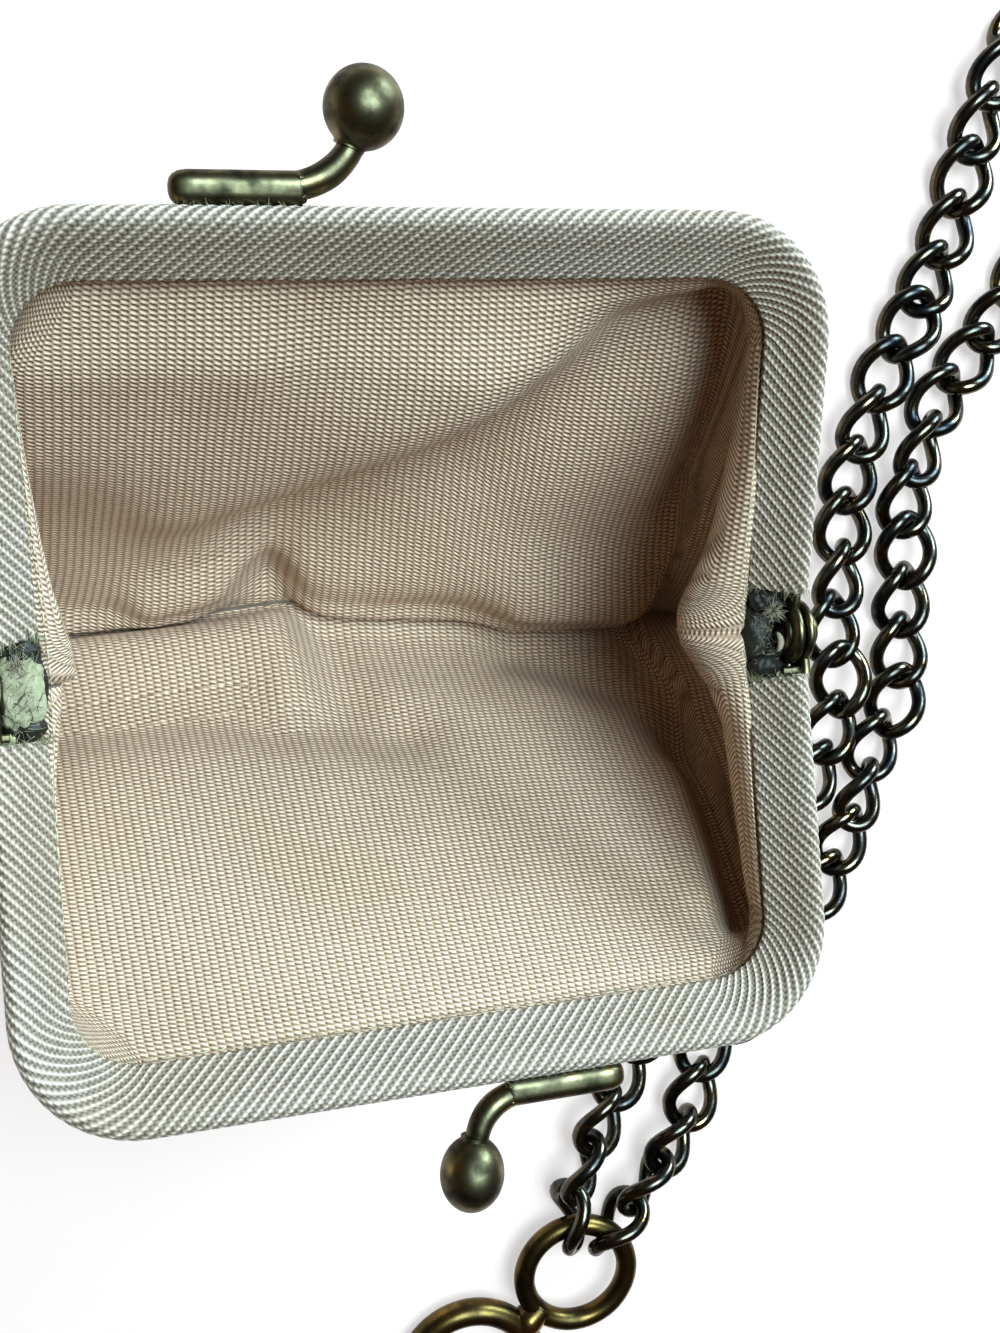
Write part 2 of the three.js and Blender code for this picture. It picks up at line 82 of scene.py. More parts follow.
# Helpers for meshes
def gridShell(points, along=False, caps=False, uv=None, paint=0):
    # points[row, column]; each row is a closed ring, and the last row may join the first (along)
    rows, cols = points.shape[:2]
    i = np.arange(rows if along else rows - 1)
    i, j = (k.ravel() for k in np.meshgrid(i, np.arange(cols), indexing="ij"))
    up, right = (i + 1) % rows, (j + 1) % cols
    faces = np.stack([i * cols + j, up * cols + j, up * cols + right, i * cols + right], 1)
    if uv is None:
        u, v = np.meshgrid(np.arange(rows + 1.0), np.arange(cols + 1.0), indexing="ij")
        uv = np.stack([u, v], 2)
    corners = np.stack([uv[i, j], uv[i + 1, j], uv[i + 1, j + 1], uv[i, j + 1]], 1)
    shell = {"points": points.reshape(-1, 3), "faces": faces.tolist(),
             "uv": corners.reshape(-1, 2).tolist(), "paint": paint}
    if caps:
        last = (rows - 1) * cols
        shell["faces"] += [list(range(cols)), [last + k for k in range(cols - 1, -1, -1)]]
        shell["uv"] += uv[0, :cols].tolist() + uv[rows - 1, :cols][::-1].tolist()
    return shell


def turnOutwards(shell):
    p = shell["points"] - shell["points"].mean(0)
    tris = np.array([[f[0], f[k], f[k + 1]] for f in shell["faces"] for k in range(1, len(f) - 1)])
    volume = np.einsum("ij,ij->i", p[tris[:, 0]], np.cross(p[tris[:, 1]], p[tris[:, 2]])).sum()
    if volume < 0:
        start, turned = 0, []
        for k, face in enumerate(shell["faces"]):
            turned += shell["uv"][start:start + len(face)][::-1]
            start += len(face)
            shell["faces"][k] = face[::-1]
        shell["uv"] = turned
    return shell


def makePiece(name, shells, paints, nodes=(), sharp=None):
    points, faces, uvs, marks, start = [], [], [], [], 0
    for shell in shells:
        turnOutwards(shell)
        points.append(shell["points"])
        faces += [[start + k for k in face] for face in shell["faces"]]
        uvs += shell["uv"]
        marks += [shell["paint"]] * len(shell["faces"])
        start += len(shell["points"])
    mesh = bpy.data.meshes.new(name)
    mesh.from_pydata((np.vstack(points) * mm).tolist(), [], faces)
    layer = mesh.uv_layers.new(name="cloth")
    layer.data.foreach_set("uv", np.asarray(uvs, np.float32).ravel())
    for paint in paints:
        mesh.materials.append(paint)
    mesh.polygons.foreach_set("material_index", marks)
    mesh.polygons.foreach_set("use_smooth", [True] * len(faces))
    if sharp:
        mesh.set_sharp_from_angle(angle=math.radians(sharp))
    piece = bpy.data.objects.new(name, mesh)
    bpy.context.scene.collection.objects.link(piece)
    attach(piece, "root")
    if nodes:
        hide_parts(*nodes)
    return piece


def tube(path, radius, sides, closed=False, paint=0):
    # a round rod along a path
    path = np.asarray(path, float)
    run = np.gradient(path, axis=0)
    if closed:
        run = np.roll(path, -1, 0) - np.roll(path, 1, 0)
    run = unit(run)
    helper = np.array([0.0, 0.0, 1.0]) if abs(run[:, 2]).max() < 0.9 else np.array([0.31, 0.95, 0.05])
    side = unit(np.cross(run, helper))
    top = np.cross(side, run)
    radius = np.broadcast_to(np.asarray(radius, float), (len(path),))[:, None, None]
    turn = np.linspace(0, 2 * math.pi, sides, endpoint=False)[None, :, None]
    points = path[:, None] + radius * (np.cos(turn) * side[:, None] + np.sin(turn) * top[:, None])
    return gridShell(points, along=closed, caps=not closed, paint=paint)


def lathe(profile, origin, axis, sides, closed=False):
    # profile holds (along, radius); closed makes a ring with a hole
    profile = np.asarray(profile, float)
    axis = unit(axis)
    helper = np.array([0.0, 0.0, 1.0]) if abs(axis[2]) < 0.9 else np.array([0.0, 1.0, 0.0])
    side = unit(np.cross(axis, helper))
    top = np.cross(axis, side)
    turn = np.linspace(0, 2 * math.pi, sides, endpoint=False)[None, :, None]
    spokes = np.cos(turn) * side + np.sin(turn) * top
    points = np.asarray(origin, float) + profile[:, None, :1] * axis + profile[:, None, 1:] * spokes
    return gridShell(points, along=closed, caps=not closed)


def lump(centre, radii, rough, seed, steps, waviness=2.6, paint=0):
    # a rounded lump with an uneven skin
    polar = np.linspace(poleGap, math.pi - poleGap, steps)[:, None]
    turn = np.linspace(0, 2 * math.pi, steps * 2, endpoint=False)[None, :]
    ways = np.stack([np.sin(polar) * np.cos(turn), np.sin(polar) * np.sin(turn),
                     np.cos(polar) + 0 * turn], 2)
    waves = np.random.default_rng(seed).normal(size=(9, 3)) * waviness
    bumps = sum(np.sin(ways @ w + k) for k, w in enumerate(waves)) / len(waves)
    points = np.asarray(centre) + ways * np.asarray(radii) * (1.0 + rough * bumps[..., None])
    return gridShell(points, caps=True, paint=paint)


# Helpers for materials
def colour(code):
    # sRGB hex to linear
    parts = [int(code[k:k + 2], 16) / 255.0 for k in (1, 3, 5)]
    return tuple(c / 12.92 if c <= 0.04045 else ((c + 0.055) / 1.055) ** 2.4 for c in parts) + (1.0,)


def newMaterial(name):
    material = bpy.data.materials.new(name)
    material.use_nodes = True
    tree = material.node_tree
    return material, tree, tree.nodes["Principled BSDF"]


def feed(tree, node, inputs):
    # each input takes a value, a socket or the first output of a node
    for key, value in inputs.items():
        if isinstance(value, bpy.types.Node):
            value = value.outputs[0]
        if isinstance(value, bpy.types.NodeSocket):
            tree.links.new(value, node.inputs[key])
        else:
            node.inputs[key].default_value = value


def addNode(tree, kind, inputs, **settings):
    node = tree.nodes.new("ShaderNode" + kind)
    for key, value in settings.items():
        setattr(node, key, value)
    feed(tree, node, inputs)
    return node


# Rayon faille, woven with thick cords under fine crossing yarns. The yarns show as short leaning dashes
# on the cords and as small cells in the grooves between them, and give a soft sheen. The grooves, cells and
# gaps between dashes take the darker colour: the yarn's own colour with painted shade where the yarns dip.
# Handling has left cloudy stains.
failleWeave = {
    "ribPitch": 0.84, "tickPitch": 0.6, "tickLean": 0.45, "gapSharpness": 1.6, "ribHeight": 0.2,
    "swaySize": 3.8, "sway": 0.22, "yarnSize": 0.5, "yarnShare": 0.4,
    "stainSize": 21.0, "stainFrom": 0.45, "stainTo": 0.75, "soil": "#cbb896",
    "roughness": 0.62, "specular": 0.32, "sheen": 0.12, "sheenRoughness": 0.4,
}


def faille(name, crest, grooveAndShade, soiling, cordSharpness, dashShare, cellTop, cellRows):
    w = failleWeave
    material, tree, shader = newMaterial(name)
    place = addNode(tree, "UVMap", {}, uv_map="cloth")
    split = addNode(tree, "SeparateXYZ", {"Vector": place})
    solid = addNode(tree, "TexCoord", {}).outputs["Object"]
    wander = addNode(tree, "TexNoise", {"Vector": solid, "Scale": 1 / (w["swaySize"] * mm), "Detail": 2.0})
    straight = addNode(tree, "Math", {0: split.outputs["X"], 1: w["ribPitch"]}, operation="DIVIDE")
    across = addNode(tree, "Math", {0: wander, 1: w["sway"], 2: straight}, operation="MULTIPLY_ADD")
    ribTurn = addNode(tree, "Math", {0: across, 1: 2 * math.pi}, operation="MULTIPLY")
    ribWave = addNode(tree, "Math", {0: ribTurn}, operation="COSINE")
    rib = addNode(tree, "Math", {0: ribWave, 1: 0.5, 2: 0.5}, operation="MULTIPLY_ADD")
    cord = addNode(tree, "Math", {0: rib, 1: cordSharpness}, operation="POWER")
    # dashes on the cords, each cord half a dash on from the last
    ticks = addNode(tree, "Math", {0: split.outputs["Y"], 1: w["tickPitch"]}, operation="DIVIDE")
    middle = addNode(tree, "Math", {0: across, 1: 0.5}, operation="ADD")
    index = addNode(tree, "Math", {0: middle}, operation="FLOOR")
    leaning = addNode(tree, "Math", {0: across, 1: -w["tickLean"], 2: ticks}, operation="MULTIPLY_ADD")
    dashPlace = addNode(tree, "Math", {0: index, 1: 0.5, 2: leaning}, operation="MULTIPLY_ADD")
    dashTurn = addNode(tree, "Math", {0: dashPlace, 1: 2 * math.pi}, operation="MULTIPLY")
    dashWave = addNode(tree, "Math", {0: dashTurn}, operation="COSINE")
    dip = addNode(tree, "Math", {0: dashWave, 1: -0.5, 2: 0.5}, operation="MULTIPLY_ADD")
    gap = addNode(tree, "Math", {0: dip, 1: w["gapSharpness"]}, operation="POWER")
    dash = addNode(tree, "Math", {0: gap, 1: -dashShare, 2: 1.0}, operation="MULTIPLY_ADD")
    dashes = addNode(tree, "Math", {0: cord, 1: dash}, operation="MULTIPLY")
    # cells in the grooves, one or two rows to a groove
    rows = addNode(tree, "Math", {0: across, 1: cellRows}, operation="MULTIPLY")
    row = addNode(tree, "Math", {0: rows}, operation="FLOOR")
    cellPlace = addNode(tree, "Math", {0: row, 1: 0.5, 2: leaning}, operation="MULTIPLY_ADD")
    cellTurn = addNode(tree, "Math", {0: cellPlace, 1: 2 * math.pi}, operation="MULTIPLY")
    cellWave = addNode(tree, "Math", {0: cellTurn}, operation="COSINE")
    cell = addNode(tree, "Math", {0: cellWave, 1: cellTop / 2, 2: cellTop / 2}, operation="MULTIPLY_ADD")
    between = addNode(tree, "Math", {0: 1.0, 1: cord}, operation="SUBTRACT")
    height = addNode(tree, "Math", {0: between, 1: cell, 2: dashes}, operation="MULTIPLY_ADD")
    yarn = addNode(tree, "TexNoise", {"Vector": solid, "Scale": 1 / (w["yarnSize"] * mm), "Detail": 2.0})
    uneven = addNode(tree, "Math", {0: yarn, 1: 0.5}, operation="SUBTRACT")
    shade = addNode(tree, "Math", {0: uneven, 1: w["yarnShare"], 2: height}, operation="MULTIPLY_ADD")
    # the low parts of the weave take the darker colour: the yarn's colour plus painted shade in the grooves,
    # cells and dash gaps
    tint = addNode(tree, "MixRGB", {"Fac": shade, "Color1": colour(grooveAndShade), "Color2": colour(crest)})
    stain = addNode(tree, "TexNoise", {"Vector": solid, "Scale": 1 / (w["stainSize"] * mm), "Detail": 4.0})
    stained = addNode(tree, "MapRange", {"Value": stain, "From Min": w["stainFrom"],
                                         "From Max": w["stainTo"], "To Max": soiling})
    soiled = addNode(tree, "MixRGB", {"Fac": stained, "Color1": tint, "Color2": colour(w["soil"])},
                     blend_type="MULTIPLY")
    relief = addNode(tree, "Bump", {"Height": height, "Strength": 1.0, "Distance": w["ribHeight"] * mm})
    feed(tree, shader, {"Base Color": soiled, "Normal": relief, "Roughness": w["roughness"],
                        "Specular IOR Level": w["specular"], "Sheen Weight": w["sheen"],
                        "Sheen Roughness": w["sheenRoughness"]})
    return material


# Aged brass: stamped, bent and soldered brass that has gone dark. It shows a brown to green patina in
# clouds, brighter metal where hands rub it, tiny pits and a broad soft highlight.
brassSettings = {
    "darkStop": 0.36, "midStop": 0.6, "rubbedStop": 0.9, "rubReach": 0.3, "glossFrom": 0.3, "glossTo": 0.75,
    "dull": 0.14, "polished": 0.08, "pitSize": 0.42, "pitDepth": 0.03, "pitStrength": 0.25,
}


def agedBrass(name, dark, mid, rubbed, roughness, cloudSize, rubShare):
    b = brassSettings
    material, tree, shader = newMaterial(name)
    solid = addNode(tree, "TexCoord", {}).outputs["Object"]
    clouds = addNode(tree, "TexNoise", {"Vector": solid, "Scale": 1 / (cloudSize * mm), "Detail": 5.0})
    patina = addNode(tree, "ValToRGB", {"Fac": clouds})
    ramp = patina.color_ramp
    ramp.elements[0].position, ramp.elements[0].color = b["darkStop"], colour(dark)
    ramp.elements[1].position, ramp.elements[1].color = b["midStop"], colour(mid)
    ramp.elements.new(b["rubbedStop"] - b["rubReach"] * rubShare).color = colour(rubbed)
    grit = addNode(tree, "TexNoise", {"Vector": solid, "Scale": 1 / (b["pitSize"] * mm), "Detail": 3.0})
    gloss = addNode(tree, "MapRange", {"Value": clouds, "From Min": b["glossFrom"], "From Max": b["glossTo"],
                                       "To Min": roughness + b["dull"], "To Max": roughness - b["polished"]})
    pits = addNode(tree, "Bump", {"Height": grit, "Strength": b["pitStrength"],
                                  "Distance": b["pitDepth"] * mm})
    feed(tree, shader, {"Base Color": patina, "Roughness": gloss, "Normal": pits, "Metallic": 1.0})
    return material


# Plain stuff of one colour with an uneven grain
grainSettings = {"strength": 0.5, "depthShare": 0.2}


def plainStuff(name, light, dark, grainSize, roughness):
    material, tree, shader = newMaterial(name)
    solid = addNode(tree, "TexCoord", {}).outputs["Object"]
    grain = addNode(tree, "TexNoise", {"Vector": solid, "Scale": 1 / (grainSize * mm), "Detail": 4.0})
    tint = addNode(tree, "MixRGB", {"Fac": grain, "Color1": colour(dark), "Color2": colour(light)})
    relief = addNode(tree, "Bump", {"Height": grain, "Strength": grainSettings["strength"],
                                    "Distance": grainSettings["depthShare"] * grainSize * mm})
    feed(tree, shader, {"Base Color": tint, "Normal": relief, "Roughness": roughness})
    return material


# cream bias tape, crisp cords and two rows of cells; champagne lining, softer cords and warmer yarn;
# the second, darker colour of each is yarn colour plus painted shade in its grooves and cells
coverFaille = faille("creamRayonFaille", "#e0cdbb", "#6b5b4b", soiling=0.3, cordSharpness=1.7,
                     dashShare=0.4, cellTop=0.3, cellRows=2)
liningFaille = faille("champagneRayonFaille", "#fbdcc0", "#765a41", soiling=0.2, cordSharpness=0.5,
                      dashShare=0.85, cellTop=0.55, cellRows=1)
# frame: dull dark bronze; chain: glossy gunmetal plate worn to brass; clasp: polished by use
frameBrass = agedBrass("agedBrassPatina", "#3e3a2c", "#777056", "#b0985f",
                       roughness=0.36, cloudSize=2.6, rubShare=0.25)
chainBrass = agedBrass("gunmetalPlatedBrass", "#33363a", "#645e50", "#97804f",
                       roughness=0.2, cloudSize=3.2, rubShare=0.35)
claspBrass = agedBrass("wornAntiqueBrass", "#3a3020", "#6f5c36", "#a3854c",
                       roughness=0.3, cloudSize=4.0, rubShare=0.4)
# fibre frayed from the cut tape, fine and silky; hide glue brushed on and dried dark, a dull lumpy film;
# cotton lint pressed into the glue, pale and matt; twisted rayon sewing thread with a slight gloss
frayFibre = plainStuff("rayonFibre", "#bdb796", "#7f7a5c", grainSize=0.4, roughness=0.7)
hideGlue = plainStuff("agedHideGlue", "#37342a", "#16140e", grainSize=0.5, roughness=0.55)
paleTuft = plainStuff("cottonLint", "#c9bda6", "#8c7f68", grainSize=0.25, roughness=0.9)
sewingThread = plainStuff("rayonSewingThread", "#d9cdb4", "#a8987c", grainSize=0.2, roughness=0.55)
print("materials made")


# Frame halves
frameShape = {"width": 85.0, "legLength": 43.5, "hingeHeight": 54.0, "openAngle": math.radians(9.0),
              "barFace": 6.5, "cornerRadius": 12.75, "coreStart": 3.75}


def placeHalf(points, half):
    # from a half's own plane (x along, y out from the hinge, z up) to the frame of the solids
    points = np.asarray(points, float)
    x, y, z = points[..., 0], points[..., 1], points[..., 2]
    tilt, way = frameShape["openAngle"], 1.0 if half == "back" else -1.0
    out = y * math.cos(tilt) - z * math.sin(tilt)
    up = y * math.sin(tilt) + z * math.cos(tilt) + frameShape["hingeHeight"]
    return np.stack([way * x, way * out, up], -1)


def placeShells(shells, half):
    for shell in shells:
        shell["points"] = placeHalf(shell["points"], half)
    return shells


def halfPath(start, step):
    # middle line of a half: up one leg, round two corners, down the other, with its outward way
    legX = (frameShape["width"] - frameShape["barFace"]) / 2
    barY = frameShape["legLength"] - frameShape["barFace"] / 2
    bend = frameShape["cornerRadius"] - frameShape["barFace"] / 2
    legs, corner, bar = barY - bend - start, bend * math.pi / 2, 2 * (legX - bend)
    total = 2 * legs + 2 * corner + bar
    s = np.linspace(0, total, int(round(total / step)) + 1)
    turn = np.clip((s - legs) / bend, 0, math.pi / 2)
    turn = turn + np.clip((s - legs - corner - bar) / bend, 0, math.pi / 2)
    x = legX - bend + bend * np.cos(turn) - np.clip(s - legs - corner, 0, bar)
    y = start + np.minimum(s, legs) + bend * np.sin(turn) - np.clip(s - total + legs, 0, None)
    across = np.stack([np.cos(turn), np.sin(turn), 0 * s], 1)
    return np.stack([x, y, 0 * s], 1), across, s


# Cloth covers: bias tape wrapped round each half, its ribs across the bar at 45 degrees
coverSettings = {
    "start": 4.8, "step": 0.25, "around": 84, "sectionSteps": 12, "legBreadth": 0.93, "barBreadth": 1.06,
    "relief": 0.11, "endShrink": 0.16, "endRound": 0.9, "recessSize": 0.6, "recessDepth": 2.0,
    "middle": (0.2, 0.0), "topLean": 0.4,
    "section": [(-2.9, -1.9), (-2.2, -2.35), (0.0, -2.45), (2.1, -2.2), (2.9, -0.9), (3.0, 0.9), (2.6, 2.0),
                (1.8, 2.4), (0.6, 1.7), (-0.6, 0.6), (-2.3, -0.85), (-3.0, -1.45)],
}


def makeCover(half):
    c = coverSettings
    path, outward, s = halfPath(c["start"], c["step"])
    section, w = evenly(closedCurve(c["section"], c["sectionSteps"]), c["around"], closed=True)
    topMiddle = np.argmax(section[:, 1] - abs(section[:, 0]) * c["topLean"])
    w = -(w - w[topMiddle])  # grows outwards over the top face
    skinWays = unit(section - np.array(c["middle"]))
    diagonal = math.sqrt(2)
    rib = 0.5 + 0.5 * np.cos(2 * math.pi * (s[:, None] + w[None, :]) / (diagonal * failleWeave["ribPitch"]))
    push = c["relief"] * (rib - 0.5)
    # ends roll in like a cut and pressed edge
    ends = np.minimum(s, s[-1] - s)
    shrink = 1.0 - c["endShrink"] * (1.0 - smooth(0.0, c["endRound"], ends)) ** 2
    ring = section[None] * shrink[:, None, None] + push[..., None] * skinWays[None]
    ring[..., 0] *= mix(c["legBreadth"], c["barBreadth"], outward[:, 1:2] ** 2)
    points = path[:, None] + ring[..., :1] * outward[:, None]
    points[..., 2] += ring[..., 1]
    along, around = np.append(s, s[-1] + 1), np.append(w, w[-1] - (w[0] - w[1]))
    run = 1.0 / diagonal
    uv = np.stack([(along[:, None] + around[None]) * run, (along[:, None] - around[None]) * run], 2)
    # a recess at each end, where the metal comes out
    inner = section * c["recessSize"]
    recesses = []
    for index in (0, -1):
        row = path[index] + inner[:, :1] * outward[index]
        row[:, 2] += inner[:, 1]
        recesses.append([row, row + np.array([0, c["recessDepth"], 0])])
    (head, headEnd), (tail, tailEnd) = recesses
    grid = np.concatenate([[headEnd, head], points, [tail, tailEnd]])
    edge = np.concatenate([np.repeat(uv[:1], 2, 0), uv[:-1], np.repeat(uv[-2:-1], 3, 0)])
    shell = gridShell(grid, caps=True, uv=edge)
    return makePiece(f"cover{half.title()}", placeShells([shell], half), [coverFaille],
                     [f"cover_{half}"])


for half in ("back", "front"):
    makeCover(half)
print("covers made")


# Metal of the frame: core, lugs, clasp foot, arm and ball
claspSettings = {
    "back": {"footFrom": -22.0, "footTo": -10.4, "ballAlong": -4.7, "ballOut": 51.7,
             "wide": 3.6, "long": 3.65},
    "front": {"footFrom": -18.2, "footTo": -5.6, "ballAlong": -1.2, "ballOut": 52.6,
              "wide": 3.3, "long": 3.85},
}
metalSettings = {
    "coreStep": 2.0, "coreFace": 2.3, "coreThickness": 1.2, "coreShift": (0.9, -0.9), "coreBevel": 0.35,
    "lugRadius": 3.5, "lugThickness": 0.9, "lugInner": 40.3, "lugOuter": 41.5,
    "lugBevel": 0.42, "hole": 1.35,
    "strapOut": (1.9, 3.2, 4.6), "strapShare": 0.96, "strapTall": 3.4, "strapBevel": 0.3,
    "joggleOut": 4.2, "joggleIn": 0.6, "joggleFace": 0.9, "joggleBevel": 0.25,
    "footOut": 44.8, "footTall": 1.6, "footThick": 1.3, "footBevel": 1.28,
    # distance from the foot's ends and share of its full size there
    "footTip": [(0.0, 0.25), (0.12, 0.52), (0.4, 0.75), (0.9, 0.92), (1.6, 1.0)],
    "footHeel": [(-0.25, 1.0), (-0.05, 0.93), (0.0, 0.8)], "footRows": 10, "footPlain": (2.4, -0.5),
    # solder beads where the arm enters the foot: place, radii, seed
    "beads": [((-0.2, 0.95, 0.75), (0.5, 0.4, 0.45), 3), ((-0.1, -0.7, 0.8), (0.55, 0.5, 0.45), 4)],
    "beadRough": 0.3, "armRadius": 1.25, "armSwell": [(0, 1.0), (0.5, 1.06), (1.0, 0.94)],
    "armStart": (-2.4, 0.1), "armBend": (3.6, 0.2), "armEnd": (-0.5, -1.6),
    "collar": 1.45, "collarFrom": -0.9, "ballPole": 0.03,
    # how finely the round parts are cut
    "lugSides": 40, "ballSides": 40, "ballSteps": 30, "armSides": 18, "armSteps": 22, "beadSteps": 10,
    "cornerSteps": 3, "footCornerSteps": 8, "rimSteps": 4, "sharpAngle": 42,
}


def roundedRing(width, height, bevel, steps):
    # a rectangle with rounded corners
    ring = []
    for corner, (a, b) in enumerate([(1, 1), (-1, 1), (-1, -1), (1, -1)]):
        for k in range(steps + 1):
            angle = (corner + k / steps) * math.pi / 2
            ring.append((a * (width / 2 - bevel) + bevel * math.cos(angle),
                         b * (height / 2 - bevel) + bevel * math.sin(angle)))
    return np.array(ring)


def beam(path, across, up, ring):
    points = path[:, None] + ring[None, :, :1] * across[:, None] + ring[None, :, 1:] * up[:, None]
    return gridShell(points, caps=True)


def washer(low, high, hole, radius, bevel):
    # a flat ring with rounded rims, as (along, radius) for lathe
    rim = roundedRing(high - low, radius - hole, bevel, metalSettings["rimSteps"])
    return rim + np.array([(low + high) / 2, (hole + radius) / 2])


def makeFrame(half):
    m, c = metalSettings, claspSettings[half]
    path, outward, _ = halfPath(frameShape["coreStart"], m["coreStep"])
    upright = np.tile([0.0, 0.0, 1.0], (len(path), 1))
    core = roundedRing(m["coreFace"], m["coreThickness"], m["coreBevel"], m["cornerSteps"])
    core = core + np.array(m["coreShift"])
    shells = [beam(path, outward, upright, core)]
    for way, low in ((1.0, m["lugInner"]), (-1.0, m["lugOuter"])):
        high = low + m["lugThickness"]
        lug = washer(low, high, m["hole"], m["lugRadius"], m["lugBevel"])
        shells.append(lathe(lug, (0, 0, 0), (way, 0, 0), m["lugSides"], closed=True))
        middle = way * (low + high) / 2
        strap = np.array([[middle, y, 0.0] for y in m["strapOut"]])
        strapFace = m["lugThickness"] * m["strapShare"]
        strapRing = roundedRing(strapFace, m["strapTall"], m["strapBevel"], m["cornerSteps"])
        shells.append(beam(strap, np.tile([1.0, 0, 0], (3, 1)), upright[:3], strapRing))
        joggleIn = way * (m["lugInner"] - m["joggleIn"])
        joggle = np.array([[x, m["joggleOut"], 0.0] for x in (joggleIn, way * high)])
        joggleRing = roundedRing(m["joggleFace"], m["coreThickness"], m["joggleBevel"], m["cornerSteps"])
        shells.append(beam(joggle, np.tile([0, 1.0, 0], (2, 1)), upright[:2], joggleRing))
    # foot: a half-round strip soldered along the bar's outer edge
    tip, heel = np.array(m["footTip"]), np.array(m["footHeel"])
    plain = np.linspace(c["footFrom"] + m["footPlain"][0], c["footTo"] + m["footPlain"][1], m["footRows"])
    x = np.concatenate([c["footFrom"] + tip[:, 0], plain, c["footTo"] + heel[:, 0]])
    size = np.concatenate([tip[:, 1], np.ones(m["footRows"]), heel[:, 1]])
    footRing = roundedRing(2 * m["footTall"], 2 * m["footThick"], m["footBevel"], m["footCornerSteps"])
    footLine = np.stack([x, 0 * x + m["footOut"], 0 * x], 1)
    points = footLine[:, None] + size[:, None, None] * (footRing[None, :, :1] * np.array([0, 1.0, 0])
                                                        + footRing[None, :, 1:] * np.array([0, 0, 1.0]))
    shells.append(gridShell(points, caps=True))
    for place, radii, seed in m["beads"]:
        centre = (c["footTo"] + place[0], m["footOut"] + place[1], place[2])
        shells.append(lump(centre, radii, m["beadRough"], seed, m["beadSteps"]))
    heelPlace, ball = np.array([c["footTo"], m["footOut"]]), np.array([c["ballAlong"], c["ballOut"]])
    bend = np.array([heelPlace + m["armStart"], heelPlace + m["armBend"], ball + m["armEnd"]])
    t = np.linspace(0, 1, m["armSteps"])[:, None]
    arm = (1 - t) ** 2 * bend[0] + 2 * t * (1 - t) * bend[1] + t ** 2 * bend[2]
    armRadius = m["armRadius"] * np.interp(t[:, 0], *np.array(m["armSwell"]).T)
    shells.append(tube(np.hstack([arm, 0 * t]), armRadius, m["armSides"]))
    # ball with a small collar at the arm
    way = np.append(unit(bend[2] - arm[-5]), 0.0)
    a = np.linspace(m["ballPole"], math.pi - m["ballPole"], m["ballSteps"])
    profile = np.stack([-c["long"] * np.cos(a), c["wide"] * np.sin(a)], 1)
    collar = np.where(profile[:, 0] < m["collarFrom"] * c["long"], m["collar"], 0.0)
    profile[:, 1] = np.maximum(profile[:, 1], collar)
    shells.append(lathe(profile, (c["ballAlong"], c["ballOut"], 0.0), way, m["ballSides"]))
    return makePiece(f"frame{half.title()}", placeShells(shells, half), [frameBrass],
                     [f"frame_{half}"], sharp=m["sharpAngle"])


for half in ("back", "front"):
    makeFrame(half)


# Hinge rivets: an eyelet inside, a low dome outside
rivetSettings = {
    "eyelet": [(39.95, 1.4), (39.85, 1.65), (39.95, 1.95), (40.2, 2.05), (40.6, 1.95),
               (40.6, 1.2), (40.2, 1.2)],
    "shaft": [(39.75, 0.05), (39.8, 0.35), (40.0, 0.62), (40.4, 0.75), (42.95, 0.75), (43.0, 2.05),
              (43.25, 2.0), (43.6, 1.5), (43.78, 0.8), (43.82, 0.05)],
    "eyeletSteps": 5, "sides": 36, "sharpAngle": 50,
}


def makeRivet(name, way):
    r = rivetSettings
    base = (0, 0, frameShape["hingeHeight"])
    eyelet = closedCurve(r["eyelet"], r["eyeletSteps"])
    shells = [lathe(eyelet, base, (way, 0, 0), r["sides"], closed=True),
              lathe(r["shaft"], base, (way, 0, 0), r["sides"])]
    node = "hinge_rivet_right" if way > 0 else "hinge_rivet_left"
    return makePiece(name, shells, [frameBrass], [node], sharp=r["sharpAngle"])


makeRivet("rivetRight", 1.0)
makeRivet("rivetLeft", -1.0)
print("frame metal made")


